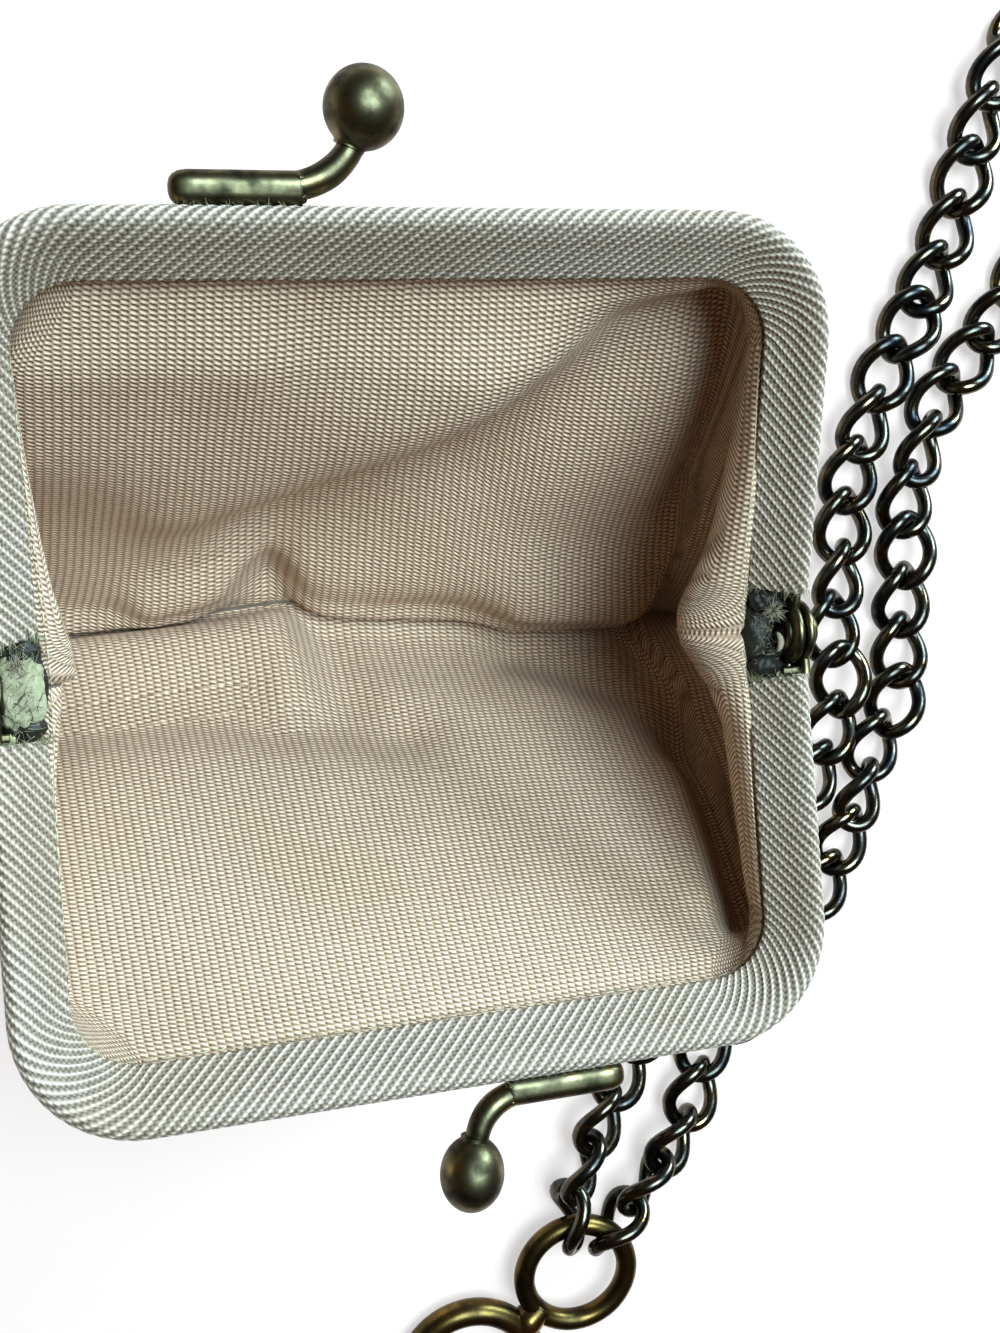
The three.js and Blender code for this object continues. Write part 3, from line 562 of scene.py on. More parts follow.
# Pouch: lining and outer bag
pouchSettings = {
    "rimX": 36.8, "rimOut": 37.8, "rimCorner": 6.5, "rimDrop": 2.5,
    "creaseHeight": 2.3, "creaseHalfWidth": 0.25, "creaseLengths": (45.5, 41.5, 37.5),
    "creaseCornerRise": 6.0, "creaseCorner": 0.72,
    "creaseBend": [(-46, -2.0), (-8, 0.8), (20, -2.8), (46, -3.6)],
    "liningBelly": {"back": -1.5, "front": 0.5}, "liningSide": 4.5, "bagBelly": 4.0, "bagSide": 4.1,
    "facing": (0, 50, 85, 95, 130, 180), "softenLong": 4.0, "slopeGain": 1.15, "restGap": 0.3,
    # how the panels bulge sideways below the ends of the bars
    "spread": 7.0, "spreadShares": (0, 0.35, 1, 1, 0.35, 0), "spreadFrom": 8.0, "spreadDown": (0.22, 0.7),
    # how folds and lips move the wall, and where folds fade out
    "foldLong": 60.0, "foldIn": 0.85, "foldUp": 0.5, "foldFade": (0.15, 0.93), "breakSoft": 2.6,
    "lipAt": 0.95, "lipBroad": 0.028, "lipUp": 0.25,
    # how the ribs lie: along the legs at the rim, slanting lower down, gathered at the crease
    "rimSlant": math.radians(86), "lowSlant": math.radians(50), "seamTurn": 7.0, "ribBlend": 0.16,
    "flatHalf": 34.5, "creaseGather": 0.35, "panelGap": 400.0,
    # how far the lining rolls in over the edge, by the distance along the rim from the hinge
    "rollWidths": {"back": [(0, 6.2), (1.5, 6.5), (3.2, 6.5), (5, 6.0), (7.5, 4.9), (10, 3.9), (14, 3.0),
                            (20, 2.0), (26, 1.3), (31, 1.0), (35, 0.7), (38, 0.2)],
                   "front": [(0, 6.2), (1.6, 6.2), (3.2, 5.5), (4.9, 4.6), (7.4, 3.2), (11.4, 1.9),
                             (14.3, 1.7), (20.7, 1.3), (26, 1.1), (31, 1.0), (35, 0.7), (38, 0.2)]},
    "rollDrops": [(0, 3.2), (20, 3.4), (28, 3.0), (34, 1.8), (38, 0.4)],
    "leftRoll": {"back": 0.5, "front": 0.3},
    "rollHump": 0.42, "humpWidths": (0.25, 0.95), "wallLong": 48.0, "rollArc": 1.05, "rollLeast": 0.004,
    "rollFade": (2.4, 0.02), "seamDepth": 0.7, "seamHalfWidth": 0.4, "seamStart": 0.02,
    # bellies, folds and lips belong to the broad panels and die away round the sides
    "bellyPower": 6, "foldPower": 4, "lipPower": 2, "closeFrom": 0.8,
    # inner and outer face of each wall, and how finely they are cut
    "liningWall": (0.0, 0.4), "liningColumns": 440, "liningOuterSkip": 4,
    "liningRows": [(0, 0.03, 7), (0.03, 0.24, 24), (0.24, 0.88, 36), (0.88, 1.0, 18)],
    "bagWall": (1.0, 2.0), "bagColumns": 300, "bagFolds": 0.8,
    "bagInnerRows": (0.03, 1.0, 12), "bagOuterRows": (0.03, 1.0, 40),
}
# folds as lines of (x in mm, share of the way down), how broad and how high in mm
pouchFolds = {
    "back": [
        {"line": [(-36, 0.3), (-22, 0.33), (-8, 0.28), (6, 0.2)], "broad": 11.0, "high": 3.4},
        {"line": [(14, 0.14), (3, 0.27), (-4.4, 0.37), (-12, 0.45), (-21, 0.52)], "broad": 7.5, "high": 2.6},
        {"line": [(33, 0.08), (27, 0.17), (22, 0.26), (16, 0.36), (10, 0.47), (3, 0.54), (-4.4, 0.64),
                  (-10, 0.7)], "broad": 8.5, "high": -4.8},
        {"line": [(-9, 0.9), (4, 0.86), (20, 0.8), (36, 0.84)], "broad": 6.5, "high": 2.9, "leftEnd": -8.0},
        {"line": [(-25, 0.88), (-18, 0.86), (-13.5, 0.83)], "broad": 4.2, "high": 3.4},
        {"line": [(-8.6, 0.95), (-9.6, 0.9), (-11.4, 0.86)], "broad": 3.6, "high": -3.7},
        {"line": [(-34, 0.1), (-16, 0.1)], "broad": 7.0, "high": 2.0},
        {"line": [(24, 0.87), (38, 0.87)], "broad": 6.0, "high": 4.0},
        {"line": [(37, 0.08), (39.5, 0.2), (42, 0.4), (43, 0.6)], "broad": 4.5, "high": -5.0},
    ],
    "front": [
        {"line": [(-9.0, 0.97), (-9.4, 0.84), (-9.8, 0.76)], "broad": 3.0, "high": 1.8},
        {"line": [(-38, 0.89), (-25, 0.88), (-14, 0.88)], "broad": 5.0, "high": 3.8},
        {"line": [(-38, 0.76), (-21, 0.75), (-9, 0.69), (4, 0.66)], "broad": 4.5, "high": -2.0},
        {"line": [(-3.5, 0.96), (-2.5, 0.86), (-1.5, 0.77)], "broad": 4.0, "high": -2.0},
        {"line": [(6, 0.91), (13, 0.89)], "broad": 7.0, "high": -1.8},
        {"line": [(39, 0.64), (36, 0.75), (31, 0.85), (24, 0.91)], "broad": 5.5, "high": -3.4},
        {"line": [(34.5, 0.2), (36.5, 0.4), (38, 0.57), (35, 0.72)], "broad": 3.0, "high": 1.0},
        {"line": [(39.5, 0.15), (41.5, 0.3), (43, 0.5), (44, 0.65)], "broad": 4.2, "high": -6.0},
    ],
}
# how far each panel leans over the crease, by x in mm
lipReach = {
    "back": [(-46, 0.8), (-30, 2.4), (-21, 2.0), (-15, 0.6), (-10, 0.0), (-7.0, 2.0), (10, 2.2), (30, 2.0),
             (46, 1.0)],
    "front": [(-46, 0.0), (46, 0.0)],
}


def foldHeight(panel, x, down):
    p = pouchSettings
    rise = np.zeros(np.broadcast(x, down).shape)
    for fold in pouchFolds[panel]:
        line = np.array(fold["line"]) * np.array([1.0, p["foldLong"]])
        nearest = np.full(rise.shape, 1e9)
        for a, b in zip(line[:-1], line[1:]):
            run = b - a
            part = ((x - a[0]) * run[0] + (down * p["foldLong"] - a[1]) * run[1]) / (run @ run)
            part = np.clip(part, 0, 1)
            gap = (x - a[0] - part * run[0]) ** 2 + (down * p["foldLong"] - a[1] - part * run[1]) ** 2
            nearest = np.minimum(nearest, gap)
        bump = fold["high"] * np.exp(-nearest / fold["broad"] ** 2)
        if "leftEnd" in fold:  # the fold breaks off short here
            bump = bump * smooth(fold["leftEnd"] - p["breakSoft"], fold["leftEnd"] + p["breakSoft"], x)
        rise = rise + bump
    return rise


def soften(values, weights):
    # a running mean that carries on straight past both ends
    padded = np.pad(values, len(weights) // 2, mode="reflect", reflect_type="odd")
    return np.convolve(padded, weights, "valid")


def pouchColumns(perHalf):
    # one column for each place along the rim, from the right hinge over the back to the left and round
    p = pouchSettings
    leg, arc = p["rimOut"] - p["rimCorner"], p["rimCorner"] * math.pi / 2
    bar = 2 * (p["rimX"] - p["rimCorner"])
    total = 2 * leg + 2 * arc + bar
    s = np.linspace(0, total, perHalf + 1)[:-1]
    turn = np.clip((s - leg) / p["rimCorner"], 0, math.pi / 2)
    turn = turn + np.clip((s - leg - arc - bar) / p["rimCorner"], 0, math.pi / 2)
    x = p["rimX"] - p["rimCorner"] + p["rimCorner"] * np.cos(turn) - np.clip(s - leg - arc, 0, bar)
    out = np.minimum(s, leg) + p["rimCorner"] * np.sin(turn) - np.clip(s - total + leg, 0, None)
    knots = np.array([0, leg, leg + arc, leg + arc + bar, leg + 2 * arc + bar, total])
    tip, legEnd, barEnd = p["creaseLengths"]
    crease = np.interp(s, knots, [tip, legEnd, barEnd, -barEnd, -legEnd, -tip])
    facing = np.radians(np.interp(s, knots, p["facing"]))
    hinge = np.minimum(s, total - s)
    roll = {panel: np.interp(hinge, *np.array(widths, float).T) for panel, widths in p["rollWidths"].items()}
    rollDrop = np.interp(hinge, *np.array(p["rollDrops"], float).T)
    spread = np.interp(s, knots, p["spreadShares"]) * np.sign(x)
    spread = spread * smooth(p["spreadFrom"], p["rimX"] - p["rimCorner"], abs(x))
    step = s[1] - s[0]
    middle = perHalf // 2
    side = np.interp(s, knots, [-1, -1, 0, 0, 1, 1])
    slant, lean = p["lowSlant"] * side, p["rimSlant"] * side
    low = np.cumsum(np.stack([-np.cos(slant), np.sin(slant)]) * step, axis=1)
    low = low - low[:, middle:middle + 1]
    # the cloth is gathered round the corners, and its ribs run along the legs
    hingeU = low[0, 0]
    legEndU = hingeU - leg * math.cos(p["rimSlant"])
    rimU = np.interp(s, knots, [hingeU, legEndU, bar / 2, -bar / 2, -legEndU, -hingeU])
    rimV = np.cumsum(np.sin(lean)) * step
    rimV = rimV - rimV[middle]
    weights = np.exp(-np.linspace(-2, 2, 2 * int(p["softenLong"] / step) + 1) ** 2)
    weights /= weights.sum()
    return {"x": x, "out": out, "crease": soften(crease, weights), "facing": soften(facing, weights),
            "roll": roll, "rollDrop": rollDrop, "hinge": hinge, "spread": spread,
            "rimFlat": (rimU, rimV), "lowFlat": low, "bagFlat": (s[middle] - s, 0 * s),
            "lean": lean * smooth(0.0, p["seamTurn"], hinge)}


def spreadAt(columns, t):
    grown, fading = pouchSettings["spreadDown"]
    most = pouchSettings["spread"] * columns["spread"]
    return most * smooth(0.0, grown, t) * (1.0 - smooth(fading, 1.0, t))


def rollSize(columns, panel, way):
    # width and depth of the roll at each column, and the share of the way down where it ends
    p = pouchSettings
    size = np.where(way * columns["x"] > 0, 1.0, p["leftRoll"][panel])
    wide, deep = size * columns["roll"][panel], size * columns["rollDrop"]
    return wide, deep, p["rollArc"] * np.hypot(wide, deep) / p["wallLong"] + p["rollLeast"]


def foldShare(t):
    # folds fade out at the rim and at the crease
    grown, fading = pouchSettings["foldFade"]
    return smooth(0.0, grown, t) * (1.0 - smooth(fading, 1.0, t))


def pouchPoints(columns, down, outwards, folds=1.0, lips=1.0, rolled=True):
    # rows by columns of one face of the pouch, the back half first, then the front half
    p = pouchSettings
    t = down[:, None]
    halves = []
    for panel, way in (("back", 1.0), ("front", -1.0)):
        rimX, out, creaseX = way * columns["x"], columns["out"], way * columns["crease"]
        facing = columns["facing"] + (0 if way > 0 else math.pi)
        outX, outY = np.cos(facing), np.sin(facing)
        corner = smooth(p["creaseCorner"], 1.0, np.minimum(1.0, abs(creaseX) / p["creaseLengths"][0]))
        rimZ = frameShape["hingeHeight"] + out * math.sin(frameShape["openAngle"]) - p["rimDrop"]
        rimY = way * out * math.cos(frameShape["openAngle"])
        creaseY = np.interp(creaseX, *np.array(p["creaseBend"]).T)
        creaseY = creaseY + way * p["creaseHalfWidth"] * (1 - corner ** 2)
        creaseZ = p["creaseHeight"] + p["creaseCornerRise"] * corner
        side, belly = (p["liningSide"], p["liningBelly"][panel]) if rolled else (p["bagSide"], p["bagBelly"])
        bulge = mix(side, belly, abs(outY) ** p["bellyPower"])
        push = np.sin(math.pi * t) * bulge + outwards * p["slopeGain"]
        x = mix(rimX, creaseX, t) + way * spreadAt(columns, t)
        rise = folds * foldShare(t) * abs(outY) ** p["foldPower"] * foldHeight(panel, x, t + 0 * x)
        reach = np.interp(x, *np.array(lipReach[panel]).T) * abs(outY) ** p["lipPower"]
        lip = lips * reach * np.exp(-((t - p["lipAt"]) / p["lipBroad"]) ** 2)
        y = mix(rimY, creaseY, t) + outY * push - way * (rise * p["foldIn"] + lip)
        z = mix(rimZ, creaseZ, t) + rise * p["foldUp"] + p["lipUp"] * lip
        z = z - outwards * smooth(p["closeFrom"], 1.0, t)
        points = np.stack([x + outX * push, y, z], 2)
        if rolled and panel == "back":
            # the back panel comes to rest on the front one
            barZ = frameShape["hingeHeight"] + p["rimOut"] * math.sin(frameShape["openAngle"]) - p["rimDrop"]
            depth = np.clip((barZ - points[..., 2]) / (barZ - creaseZ), 0, 1)
            frontY = mix(-p["rimOut"], creaseY - 2 * p["creaseHalfWidth"], depth)
            frontY = frontY + p["foldIn"] * foldShare(depth) * foldHeight("front", x, depth)
            points[..., 1] = np.maximum(points[..., 1], frontY + p["restGap"])
        if rolled:
            # the roll: a quarter of an ellipse in from the rim, then straight down and back under itself
            wide, deep, rollEnd = rollSize(columns, panel, way)
            turn = math.pi / 2 * np.clip(t / rollEnd, 0, 1)
            inwards = wide * np.sin(turn) - outwards
            drop = deep * (1.0 - np.cos(turn)) + p["wallLong"] * np.clip(t - rollEnd, 0, None)
            drop = drop - p["rollHump"] * deep * smooth(*p["humpWidths"], wide * np.sin(turn)) * np.cos(turn)
            seam = np.exp(-(columns["hinge"] / p["seamHalfWidth"]) ** 2)
            drop = drop + p["seamDepth"] * seam * smooth(0.0, p["seamStart"], t)
            roll = np.stack([rimX - outX * inwards, rimY - outY * inwards, rimZ - drop], 2)
            longer, more = p["rollFade"]
            points = mix(roll, points, smooth(rollEnd, rollEnd * longer + more, t)[..., None])
        halves.append(points)
    return np.concatenate(halves, 1)


def pouchFlat(columns, down, points, rolled):
    # where each point lies on the flat cut cloth, with the ribs running down the panel
    p = pouchSettings
    flats = []
    gone = np.cumsum(np.linalg.norm(np.diff(points, axis=0, prepend=points[:1]), axis=2), axis=0)
    (rimX, rimY), (lowX, lowY) = columns["rimFlat"], columns["lowFlat" if rolled else "bagFlat"]
    inside = np.clip(lowX, -p["flatHalf"], p["flatHalf"])
    endX = inside + np.sign(lowX) * (abs(lowX) - abs(inside)) * p["creaseGather"]
    backLength, frontLength = np.split(gone, 2, axis=1)
    for panel, way, start, length in (("back", 1.0, 0.0, backLength),
                                      ("front", -1.0, p["panelGap"], frontLength)):
        wide, deep, rollEnd = rollSize(columns, panel, way)
        part = smooth(rollEnd, rollEnd + p["ribBlend"], down[:, None]) if rolled else 1.0
        near = np.minimum(length, np.hypot(wide, deep))
        rollU = rimX + np.sin(columns["lean"]) * near
        rollV = rimY + np.cos(columns["lean"]) * near + length - near
        u = mix(rollU, mix(lowX, endX, down[:, None]), part) + spreadAt(columns, down[:, None])
        flats.append(np.stack([u + start, mix(rollV, lowY + length, part)], 2))
    return np.concatenate(flats, 1)


def pouchShell(columns, near, far, nearRows, farRows, folds=1.0, lips=1.0, rolled=True):
    # a closed cloth wall: the near face, over the rim, the far face, both closed along the crease
    inner = pouchPoints(columns, nearRows, near, folds, lips, rolled)
    outer = pouchPoints(columns, farRows, far, folds, lips, rolled)
    grid = np.concatenate([inner[::-1], outer])
    uv = np.concatenate([pouchFlat(columns, nearRows, inner, rolled)[::-1],
                         pouchFlat(columns, farRows, outer, rolled)])
    uv = np.concatenate([uv, uv[:, -1:] + (uv[:, -1:] - uv[:, -2:-1])], 1)
    uv = np.concatenate([uv, uv[-1:]], 0)
    count = inner.shape[1]
    half = count // 2
    # the seam between the last column of a panel and the first of the next keeps its own flat place
    uv[:, half] = uv[:, half - 1] + (uv[:, half - 1] - uv[:, half - 2])
    shell = gridShell(grid, uv=uv)
    last = (len(grid) - 1) * count
    for row, flatRow, way in ((0, 0, 1), (last, -2, -1)):
        for k in range(half):
            ring = [row + k, row + k + 1, row + (count - k - 1) % count, row + (count - k) % count]
            ring = list(dict.fromkeys(ring))[::way]
            if len(ring) > 2:
                shell["faces"].append(ring)
                shell["uv"] += [uv[flatRow, index - row].tolist() for index in ring]
    return shell


liningRows = np.unique(np.concatenate([np.linspace(*span) for span in pouchSettings["liningRows"]]))
liningColumns = pouchColumns(pouchSettings["liningColumns"])
liningShell = pouchShell(liningColumns, *pouchSettings["liningWall"], liningRows,
                         liningRows[::pouchSettings["liningOuterSkip"]])
lining = makePiece("liningCloth", [liningShell], [liningFaille], ["lining"])
bagColumns = pouchColumns(pouchSettings["bagColumns"])
bagInner, bagOuter = (np.linspace(*pouchSettings[k]) for k in ("bagInnerRows", "bagOuterRows"))
bagShell = pouchShell(bagColumns, *pouchSettings["bagWall"], bagInner, bagOuter,
                      folds=pouchSettings["bagFolds"], lips=0.0, rolled=False)
outerBag = makePiece("outerBag", [bagShell], [coverFaille], ["outer_bag"])
# each is cut as one piece and folded along the crease
print("lining and bag made")


# Chain strap: twisted round-wire links
chainSettings = {
    "wire": 1.1, "halfLength": 5.1, "halfWidth": 3.65, "twist": math.radians(47), "bite": 0.36,
    "slack": 0.6, "solidSteps": 10, "steps": 40, "sides": 12, "perSpan": 60,
    # how the free links rock: the most in degrees, and waves of (share, rate, start)
    "rock": 30.0, "rockWaves": [(0.6, 1.9, 0.6), (0.4, 0.8, 2.0)],
    "height": 2.3, "clearance": 0.1, "restLift": 0.33,
    # the links next to the eye stand up, each one less than the one before
    "endRoll": (90, 62, 34, 10, 0), "endHeight": (4.6, 4.4, 4.0, 3.15, 2.45),
    "route": [(32.6, -88.6), (39.4, -74.7), (56.0, -51.0), (72.0, -30.5), (75.3, -18.4), (74.5, -7.5),
              (76.2, 5.0), (78.2, 17.5), (84.5, 32.5), (92.1, 46.5), (98.5, 67.0), (103.0, 76.0),
              (110.0, 80.0), (115.5, 73.5), (114.5, 60.0), (108.0, 46.0), (100.5, 35.0), (91.5, 23.5),
              (86.9, 11.0), (86.6, -5.0), (85.8, -18.0), (80.5, -31.0), (75.5, -45.0), (66.0, -59.5),
              (53.5, -73.0), (49.5, -84.0)],
}
claspShape = {
    "eye": (30.5, -106.2, 4.4), "eyeRadius": 8.2, "eyeWire": 1.6, "tilt": 0.068,
    "hook": (13.5, -121.4), "hookHalfWidth": 10.3, "hookHalfLength": 11.3, "hookWire": 2.0,
    "neck": 2.2, "neckOverlap": 1.0, "neckSteps": 14,
    "neckSwell": [(0, 0.8), (0.3, 1.0), (0.5, 1.12), (0.7, 1.0), (1, 0.85)],
    "firstAngle": 93.0, "lastAngle": 46.0,  # where the chain's two ends sit round the eye
    "ringSteps": 64, "ringSides": 16, "neckSides": 20,
}


def eyePlace(degrees, reach):
    c = claspShape
    angle = math.radians(degrees)
    away = unit(np.array(c["hook"]) - np.array(c["eye"][:2]))
    step = reach * np.array([math.cos(angle), math.sin(angle)])
    height = c["eye"][2] - c["tilt"] * float(step @ away)
    return np.array([c["eye"][0] + step[0], c["eye"][1] + step[1], height])


def centripetal(knots, perSpan):
    # the same smooth line that the solid chain follows
    knots = np.vstack([2 * knots[0] - knots[1], knots, 2 * knots[-1] - knots[-2]])
    line = []
    for a, b, c, d in zip(knots[:-3], knots[1:-2], knots[2:-1], knots[3:]):
        d0, d1, d2 = (math.sqrt(np.linalg.norm(q - r)) for q, r in ((b, a), (c, b), (d, c)))
        t1 = ((b - a) / d0 - (c - a) / (d0 + d1) + (c - b) / d1) * d1
        t2 = ((c - b) / d1 - (d - b) / (d1 + d2) + (d - c) / d2) * d1
        t = (np.arange(perSpan) / perSpan)[:, None]
        square, cube = -3 * b + 3 * c - 2 * t1 - t2, 2 * b - 2 * c + t1 + t2
        line.append(b + t1 * t + square * t ** 2 + cube * t ** 3)
    return np.vstack(line + [knots[-2:-1]])


def makeChain():
    c = chainSettings
    linkReach = c["halfLength"] * math.cos(math.pi / c["solidSteps"])  # as far as the solid links reach
    pitch = 2 * linkReach - 2 * c["wire"] + c["bite"]
    seat = claspShape["eyeRadius"] + linkReach - c["wire"] - claspShape["eyeWire"] - c["slack"]
    first, last = (eyePlace(claspShape[k], seat) for k in ("firstAngle", "lastAngle"))
    knots = np.vstack([first[:2], c["route"], last[:2]])
    line = centripetal(knots, c["perSpan"])
    length = np.linalg.norm(np.diff(line, axis=0), axis=1).sum()
    count = math.ceil(length / pitch) + 1
    places, _ = evenly(line, count)
    heights, rolls = np.full(count, c["height"]), np.zeros(count)
    for k, (roll, height) in enumerate(zip(c["endRoll"], c["endHeight"])):
        heights[k] = heights[-1 - k] = height
        rolls[k], rolls[-1 - k] = math.radians(roll), -math.radians(roll)
    # links that lie free rock a little, each lifted so that it still clears the ground
    free = np.arange(count)[len(c["endRoll"]):-len(c["endRoll"])]
    rocking = sum(share * np.sin(rate * free + start) for share, rate, start in c["rockWaves"])
    rolls[free] = math.radians(c["rock"]) * rocking
    lifted = c["halfWidth"] * (c["restLift"] + abs(np.sin(rolls[free])))
    heights[free] = np.maximum(c["height"], c["wire"] + c["clearance"] + lifted)
    places = np.column_stack([places, heights])
    ahead = np.zeros_like(places)
    ahead[1:-1] = places[2:] - places[:-2]
    eyeMiddle = np.array(claspShape["eye"])
    ahead[0], ahead[-1] = places[0] - eyeMiddle, eyeMiddle - places[-1]
    ahead[0, 2] = ahead[-1, 2] = 0.0
    t = 2 * math.pi * np.arange(c["steps"]) / c["steps"]
    shells = []
    for place, way, roll in zip(places, unit(ahead), rolls):
        level = unit(np.array([-way[1], way[0], 0.0]))
        upright = np.cross(way, level)
        side = math.cos(roll) * level + math.sin(roll) * upright
        top = math.cos(roll) * upright - math.sin(roll) * level
        twist, width = c["twist"] * np.cos(t), c["halfWidth"] * np.sin(t)
        wire = (place + np.outer(c["halfLength"] * np.cos(t), way) + np.outer(width * np.cos(twist), side)
                + np.outer(width * np.sin(twist), top))
        run = unit(np.roll(wire, -1, 0) - np.roll(wire, 1, 0))
        spoke = wire - place
        spoke = unit(spoke - (spoke * run).sum(1)[:, None] * run)
        lift = np.cross(run, spoke)
        a = np.linspace(0, 2 * math.pi, c["sides"], endpoint=False)[None, :, None]
        points = wire[:, None] + c["wire"] * (np.cos(a) * spoke[:, None] + np.sin(a) * lift[:, None])
        shells.append(gridShell(points, along=True))
    print("chain links:", count)
    return makePiece("chainStrap", shells, [chainBrass], ["chain_strap"])


makeChain()


# Strap clasp: eye, neck and plain closed hook
def makeClasp():
    c = claspShape
    away = np.array(c["hook"]) - np.array(c["eye"][:2])
    reach = np.linalg.norm(away)
    t = np.linspace(0, 2 * math.pi, c["ringSteps"], endpoint=False)
    eye = np.stack([c["eyeRadius"] * np.cos(t), c["eyeRadius"] * np.sin(t), 0 * t], 1)
    hookX, hookY = c["hookHalfWidth"] * np.cos(t), c["hookHalfLength"] * np.sin(t)
    hook = np.stack([away[0] + hookX, away[1] + hookY, 0 * t], 1)
    along = np.append(away / reach, 0.0)
    neckFrom = c["eyeRadius"] - c["neckOverlap"]
    neckTo = reach - c["hookHalfWidth"] + c["neckOverlap"]
    neck = np.outer(np.linspace(neckFrom, neckTo, c["neckSteps"]), along)
    swell = np.interp(np.linspace(0, 1, c["neckSteps"]), *np.array(c["neckSwell"]).T)
    shells = [tube(eye, c["eyeWire"], c["ringSides"], closed=True),
              tube(hook, c["hookWire"], c["ringSides"], closed=True),
              tube(neck, c["neck"] * swell, c["neckSides"])]
    lean = Matrix.Rotation(math.asin(c["tilt"]), 3, Vector((-away[1], away[0], 0)).normalized())
    turned = np.array(lean)
    for shell in shells:
        shell["points"] = shell["points"] @ turned.T + np.array(c["eye"])
    return makePiece("strapClasp", shells, [claspBrass], ["strap_clasp"])


makeClasp()
print("chain and clasp made")


# Fray, glue and stitches
fraySettings = {
    "radius": 0.035, "taper": 0.7, "steps": 5, "sides": 4,
    # at the hinges the fibres start inside the cut end of the cover
    "hingeCount": 150, "hingeLong": (0.4, 1.4), "hingeCurl": (0.1, 0.6), "hingeInside": (0.75, 0.95),
    "hingeScatter": 0.35, "hingeHighest": 1.9, "hingeBack": 0.35,
    "hingeSpread": (0.45, 0.4), "hingeLean": 0.1,
    # at the clasp feet they start along the slot
    "footCount": 60, "footLong": (0.3, 0.9), "footCurl": (0.1, 0.5), "footPast": 0.6, "footOut": 43.1,
    "footAcross": (-0.2, 0.2), "footHeight": 1.15, "footRise": (-0.3, 0.35),
    "footSpread": 0.9, "footLean": 0.5, "footOutwards": 0.9, "footUpwards": (0.1, 0.9),
}


def fibre(root, way, longness, curl):
    f = fraySettings
    way = unit(way)
    bend = unit(np.cross(way, dice.normal(size=3))) * curl * longness
    t = np.linspace(0, 1, f["steps"])[:, None]
    path = np.asarray(root) + way * longness * t + bend * t ** 2
    return tube(path, f["radius"] * (1 - f["taper"] * t[:, 0]), f["sides"])


def makeFray(half):
    f, c = fraySettings, claspSettings[half]
    section = np.array(coverSettings["section"])
    legX = (frameShape["width"] - frameShape["barFace"]) / 2
    shells = []
    for way in (1.0, -1.0):
        for _ in range(f["hingeCount"]):
            ring = section[dice.integers(len(section))] * dice.uniform(*f["hingeInside"])
            ring = ring + dice.normal(size=2) * f["hingeScatter"]
            ring[1] = min(ring[1], f["hingeHighest"])
            root = (way * (legX + ring[0]), coverSettings["start"] + f["hingeBack"], ring[1])
            across = dice.normal() * f["hingeSpread"][0] - f["hingeLean"] * way
            heading = (across, -1.0, dice.normal() * f["hingeSpread"][1] + f["hingeLean"])
            shells.append(fibre(root, heading, dice.uniform(*f["hingeLong"]), dice.uniform(*f["hingeCurl"])))
    for _ in range(f["footCount"]):
        x = dice.uniform(c["footFrom"], c["footTo"] + f["footPast"])
        y = f["footOut"] + dice.uniform(*f["footAcross"])
        root = (x, y, f["footHeight"] + dice.uniform(*f["footRise"]))
        across = dice.normal() * f["footSpread"] - f["footLean"]
        heading = (across, f["footOutwards"], dice.uniform(*f["footUpwards"]))
        shells.append(fibre(root, heading, dice.uniform(*f["footLong"]), dice.uniform(*f["footCurl"])))
    return makePiece(f"fray{half.title()}", placeShells(shells, half), [frayFibre])


glueSettings = {
    # lumps of glue: middle in mm from the hinge line, radii, roughness and seed
    "beds": [((37.8, 0.0, -1.6), (1.7, 4.3, 1.3), 0.16, 21), ((38.3, 3.6, -0.4), (1.9, 1.3, 1.3), 0.25, 22),
             ((38.3, -3.6, -0.4), (1.9, 1.3, 1.3), 0.25, 23), ((39.6, 2.9, -2.2), (2.6, 2.4, 1.1), 0.2, 25),
             ((39.6, -2.9, -2.2), (2.6, 2.4, 1.1), 0.2, 26)],
    "bedSteps": 26, "bedWaviness": 5.0,
    "pad": ((38.6, 0.2, 0.2), (2.3, 4.0, 1.0), 0.3, 31), "padSteps": 30, "padWaviness": 9.0,
    "lintRight": {"count": 110, "height": -0.2, "upwards": 0.9},
    "lintLeft": {"count": 260, "height": 0.9, "upwards": 0.15},
    "lintOut": 38.2, "lintScatter": (0.8, 2.2), "lintRise": (-0.4, 0.4),
    "lintLong": (0.4, 1.5), "lintCurl": 0.5,
    "tuft": (38.5, 2.6, 1.0), "tuftCount": 150, "tuftRadius": 0.25, "tuftUpwards": 0.3,
    "tuftLong": (0.4, 1.0), "tuftCurl": 0.8,
    "sliver": (39.5, -0.9, 0.9), "sliverBend": (0.35, 1.1, 0.3), "sliverRadius": 0.38, "sliverSteps": 9,
    "sliverSides": 8, "sliverBlunt": 1.02,
}


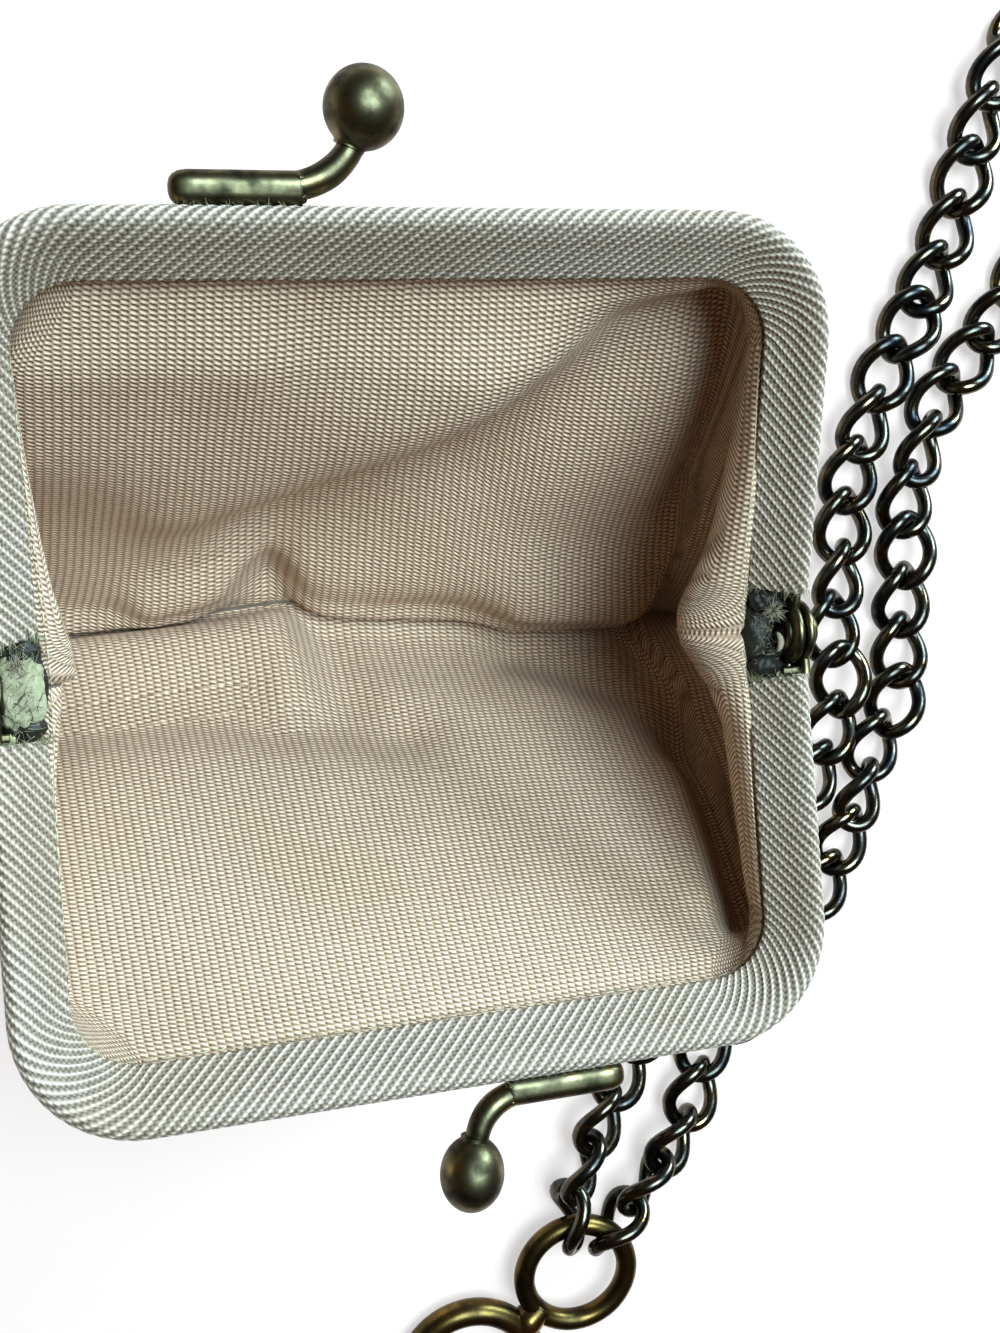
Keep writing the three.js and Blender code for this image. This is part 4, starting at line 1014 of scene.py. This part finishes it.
def makeGlue(name, way):
    g = glueSettings
    hinge = np.array([0.0, 0.0, frameShape["hingeHeight"]])
    mirror = np.array([way, 1.0, 1.0])
    shells = [lump(hinge + mirror * middle, radii, rough, seed, g["bedSteps"], g["bedWaviness"])
              for middle, radii, rough, seed in g["beds"]]
    lint = g["lintRight"] if way > 0 else g["lintLeft"]
    if way < 0:  # a pad of pressed lint
        middle, radii, rough, seed = g["pad"]
        shells.append(lump(hinge + mirror * middle, radii, rough, seed, g["padSteps"], g["padWaviness"],
                           paint=2))
    for k in range(lint["count"]):  # lint that sticks out of the glue
        x = g["lintOut"] + dice.normal() * g["lintScatter"][0]
        y = dice.normal() * g["lintScatter"][1]
        root = (way * x, y, hinge[2] + lint["height"] + dice.uniform(*g["lintRise"]))
        heading = (dice.normal(), dice.normal(), lint["upwards"])
        shells.append(fibre(root, heading, dice.uniform(*g["lintLong"]), g["lintCurl"]))
        shells[-1]["paint"] = 2 if way > 0 else k % 3
    for _ in range(g["tuftCount"]):  # the pale tuft
        heading = dice.normal(size=3)
        root = hinge + mirror * g["tuft"] + g["tuftRadius"] * heading
        upwards = heading + np.array([0, 0, g["tuftUpwards"]])
        shells.append(fibre(root, upwards, dice.uniform(*g["tuftLong"]), g["tuftCurl"]))
        shells[-1]["paint"] = 1
    bend = np.linspace(-1.0, 1.0, g["sliverSteps"])
    inwards, along, drop = g["sliverBend"]
    curve = np.stack([-inwards * bend ** 2, along * bend, -drop * bend ** 2], 1)
    sliver = hinge + mirror * (np.array(g["sliver"]) + curve)
    sliverRadius = g["sliverRadius"] * np.sqrt(g["sliverBlunt"] - bend ** 2)
    shells.append(tube(sliver, sliverRadius, g["sliverSides"], paint=1))
    return makePiece(name, shells, [hideGlue, paleTuft, frayFibre])


stitchSettings = {"pitch": 1.7, "long": 1.15, "radius": 0.1, "down": 0.016, "proud": 0.05, "sink": 0.12,
                  "endGap": 3.0, "columns": 1200, "steps": 5, "sides": 5}


def makeStitches():
    # stitch by stitch along the rim, each with its ends sunk into the cloth
    s = stitchSettings
    edge = pouchPoints(pouchColumns(s["columns"]), np.array([s["down"]]), -s["proud"])[0]
    gone = np.concatenate([[0], np.cumsum(np.linalg.norm(np.diff(edge, axis=0), axis=1))])
    shells = []
    for start in np.arange(s["endGap"], gone[-1] - s["endGap"], s["pitch"]):
        at = np.linspace(start, start + s["long"], s["steps"])
        path = np.stack([np.interp(at, gone, edge[:, k]) for k in range(3)], 1)
        path[[0, -1], 2] -= s["sink"]
        shells.append(tube(path, s["radius"], s["sides"]))
    return makePiece("rimStitches", shells, [sewingThread])


for half in ("back", "front"):
    makeFray(half)
makeGlue("hingeGlueRight", 1.0)
makeGlue("hingeGlueLeft", -1.0)
makeStitches()
print("fray, glue and stitches made")


# Floor, light and camera
stageSettings = {
    "floorSize": 6.0, "floorTint": "#a28f87", "floorGlow": 0.62, "floorRoughness": 0.6, "floorShine": 0.1,
    "worldStrength": 0.1, "worldTint": "#ffcf9e", "lampTint": "#d0efff",
    "lamps": [{"name": "skylight", "way": (0.2, 0.21, 0.957), "distance": 0.9, "size": 0.6, "power": 14.6},
              {"name": "window", "way": (0.70, 0.60, 0.38), "distance": 0.9, "size": 0.42, "power": 10.6}],
    "gamma": 0.85,
}


def makeStage():
    g = stageSettings
    # white acrylic of a light table: an even pale ground with faint soft shadows
    acrylic, tree, shader = newMaterial("whiteAcrylic")
    feed(tree, shader, {"Base Color": colour(g["floorTint"]), "Roughness": g["floorRoughness"],
                        "Emission Color": colour("#ffffff"), "Emission Strength": g["floorGlow"],
                        "Specular IOR Level": g["floorShine"]})
    side = g["floorSize"] / 2
    corners = [(-side, -side, 0), (side, -side, 0), (side, side, 0), (-side, side, 0)]
    mesh = bpy.data.meshes.new("floor")
    mesh.from_pydata(corners, [], [(0, 1, 2, 3)])
    mesh.materials.append(acrylic)
    floor = bpy.data.objects.new("floor", mesh)
    bpy.context.scene.collection.objects.link(floor)
    world = bpy.data.worlds.new("studio")
    world.use_nodes = True
    bpy.context.scene.world = world
    sky = world.node_tree.nodes["Background"]
    sky.inputs["Color"].default_value = colour(g["worldTint"])
    sky.inputs["Strength"].default_value = g["worldStrength"]
    for row in g["lamps"]:
        lamp = bpy.data.lights.new(row["name"], "AREA")
        lamp.shape, lamp.size = "DISK", row["size"]
        lamp.energy = row["power"]
        lamp.color = colour(g["lampTint"])[:3]
        holder = bpy.data.objects.new(row["name"], lamp)
        way = Vector(row["way"]).normalized()
        holder.location = way * row["distance"]
        holder.rotation_euler = way.to_track_quat("Z", "Y").to_euler()
        bpy.context.scene.collection.objects.link(holder)


cameraSettings = {"place": (-27.84, 22.72, 186.82), "right": (0.9630035, -0.0335529, 0.2673921),
                  "down": (-0.0777859, -0.9845952, 0.1565941), "ahead": (0.2580188, -0.1716000, -0.9507785),
                  "lens": 36.698, "sensor": 36.0, "clip": (0.005, 20.0)}


def makeCamera():
    c = cameraSettings
    data = bpy.data.cameras.new("camera")
    data.lens, data.sensor_width = c["lens"], c["sensor"]
    data.clip_start, data.clip_end = c["clip"]
    camera = bpy.data.objects.new("camera", data)
    right, down, ahead = (Vector(c[k]).normalized() for k in ("right", "down", "ahead"))
    turn = Matrix((right, -down, -ahead)).transposed()
    camera.matrix_world = Matrix.Translation(Vector(c["place"]) * mm) @ turn.to_4x4()
    bpy.context.scene.collection.objects.link(camera)
    bpy.context.scene.camera = camera


makeStage()
makeCamera()
bpy.context.scene.view_settings.view_transform = "Standard"
bpy.context.scene.view_settings.gamma = stageSettings["gamma"]  # the photograph's deep, warm shade
print("stage and camera made")
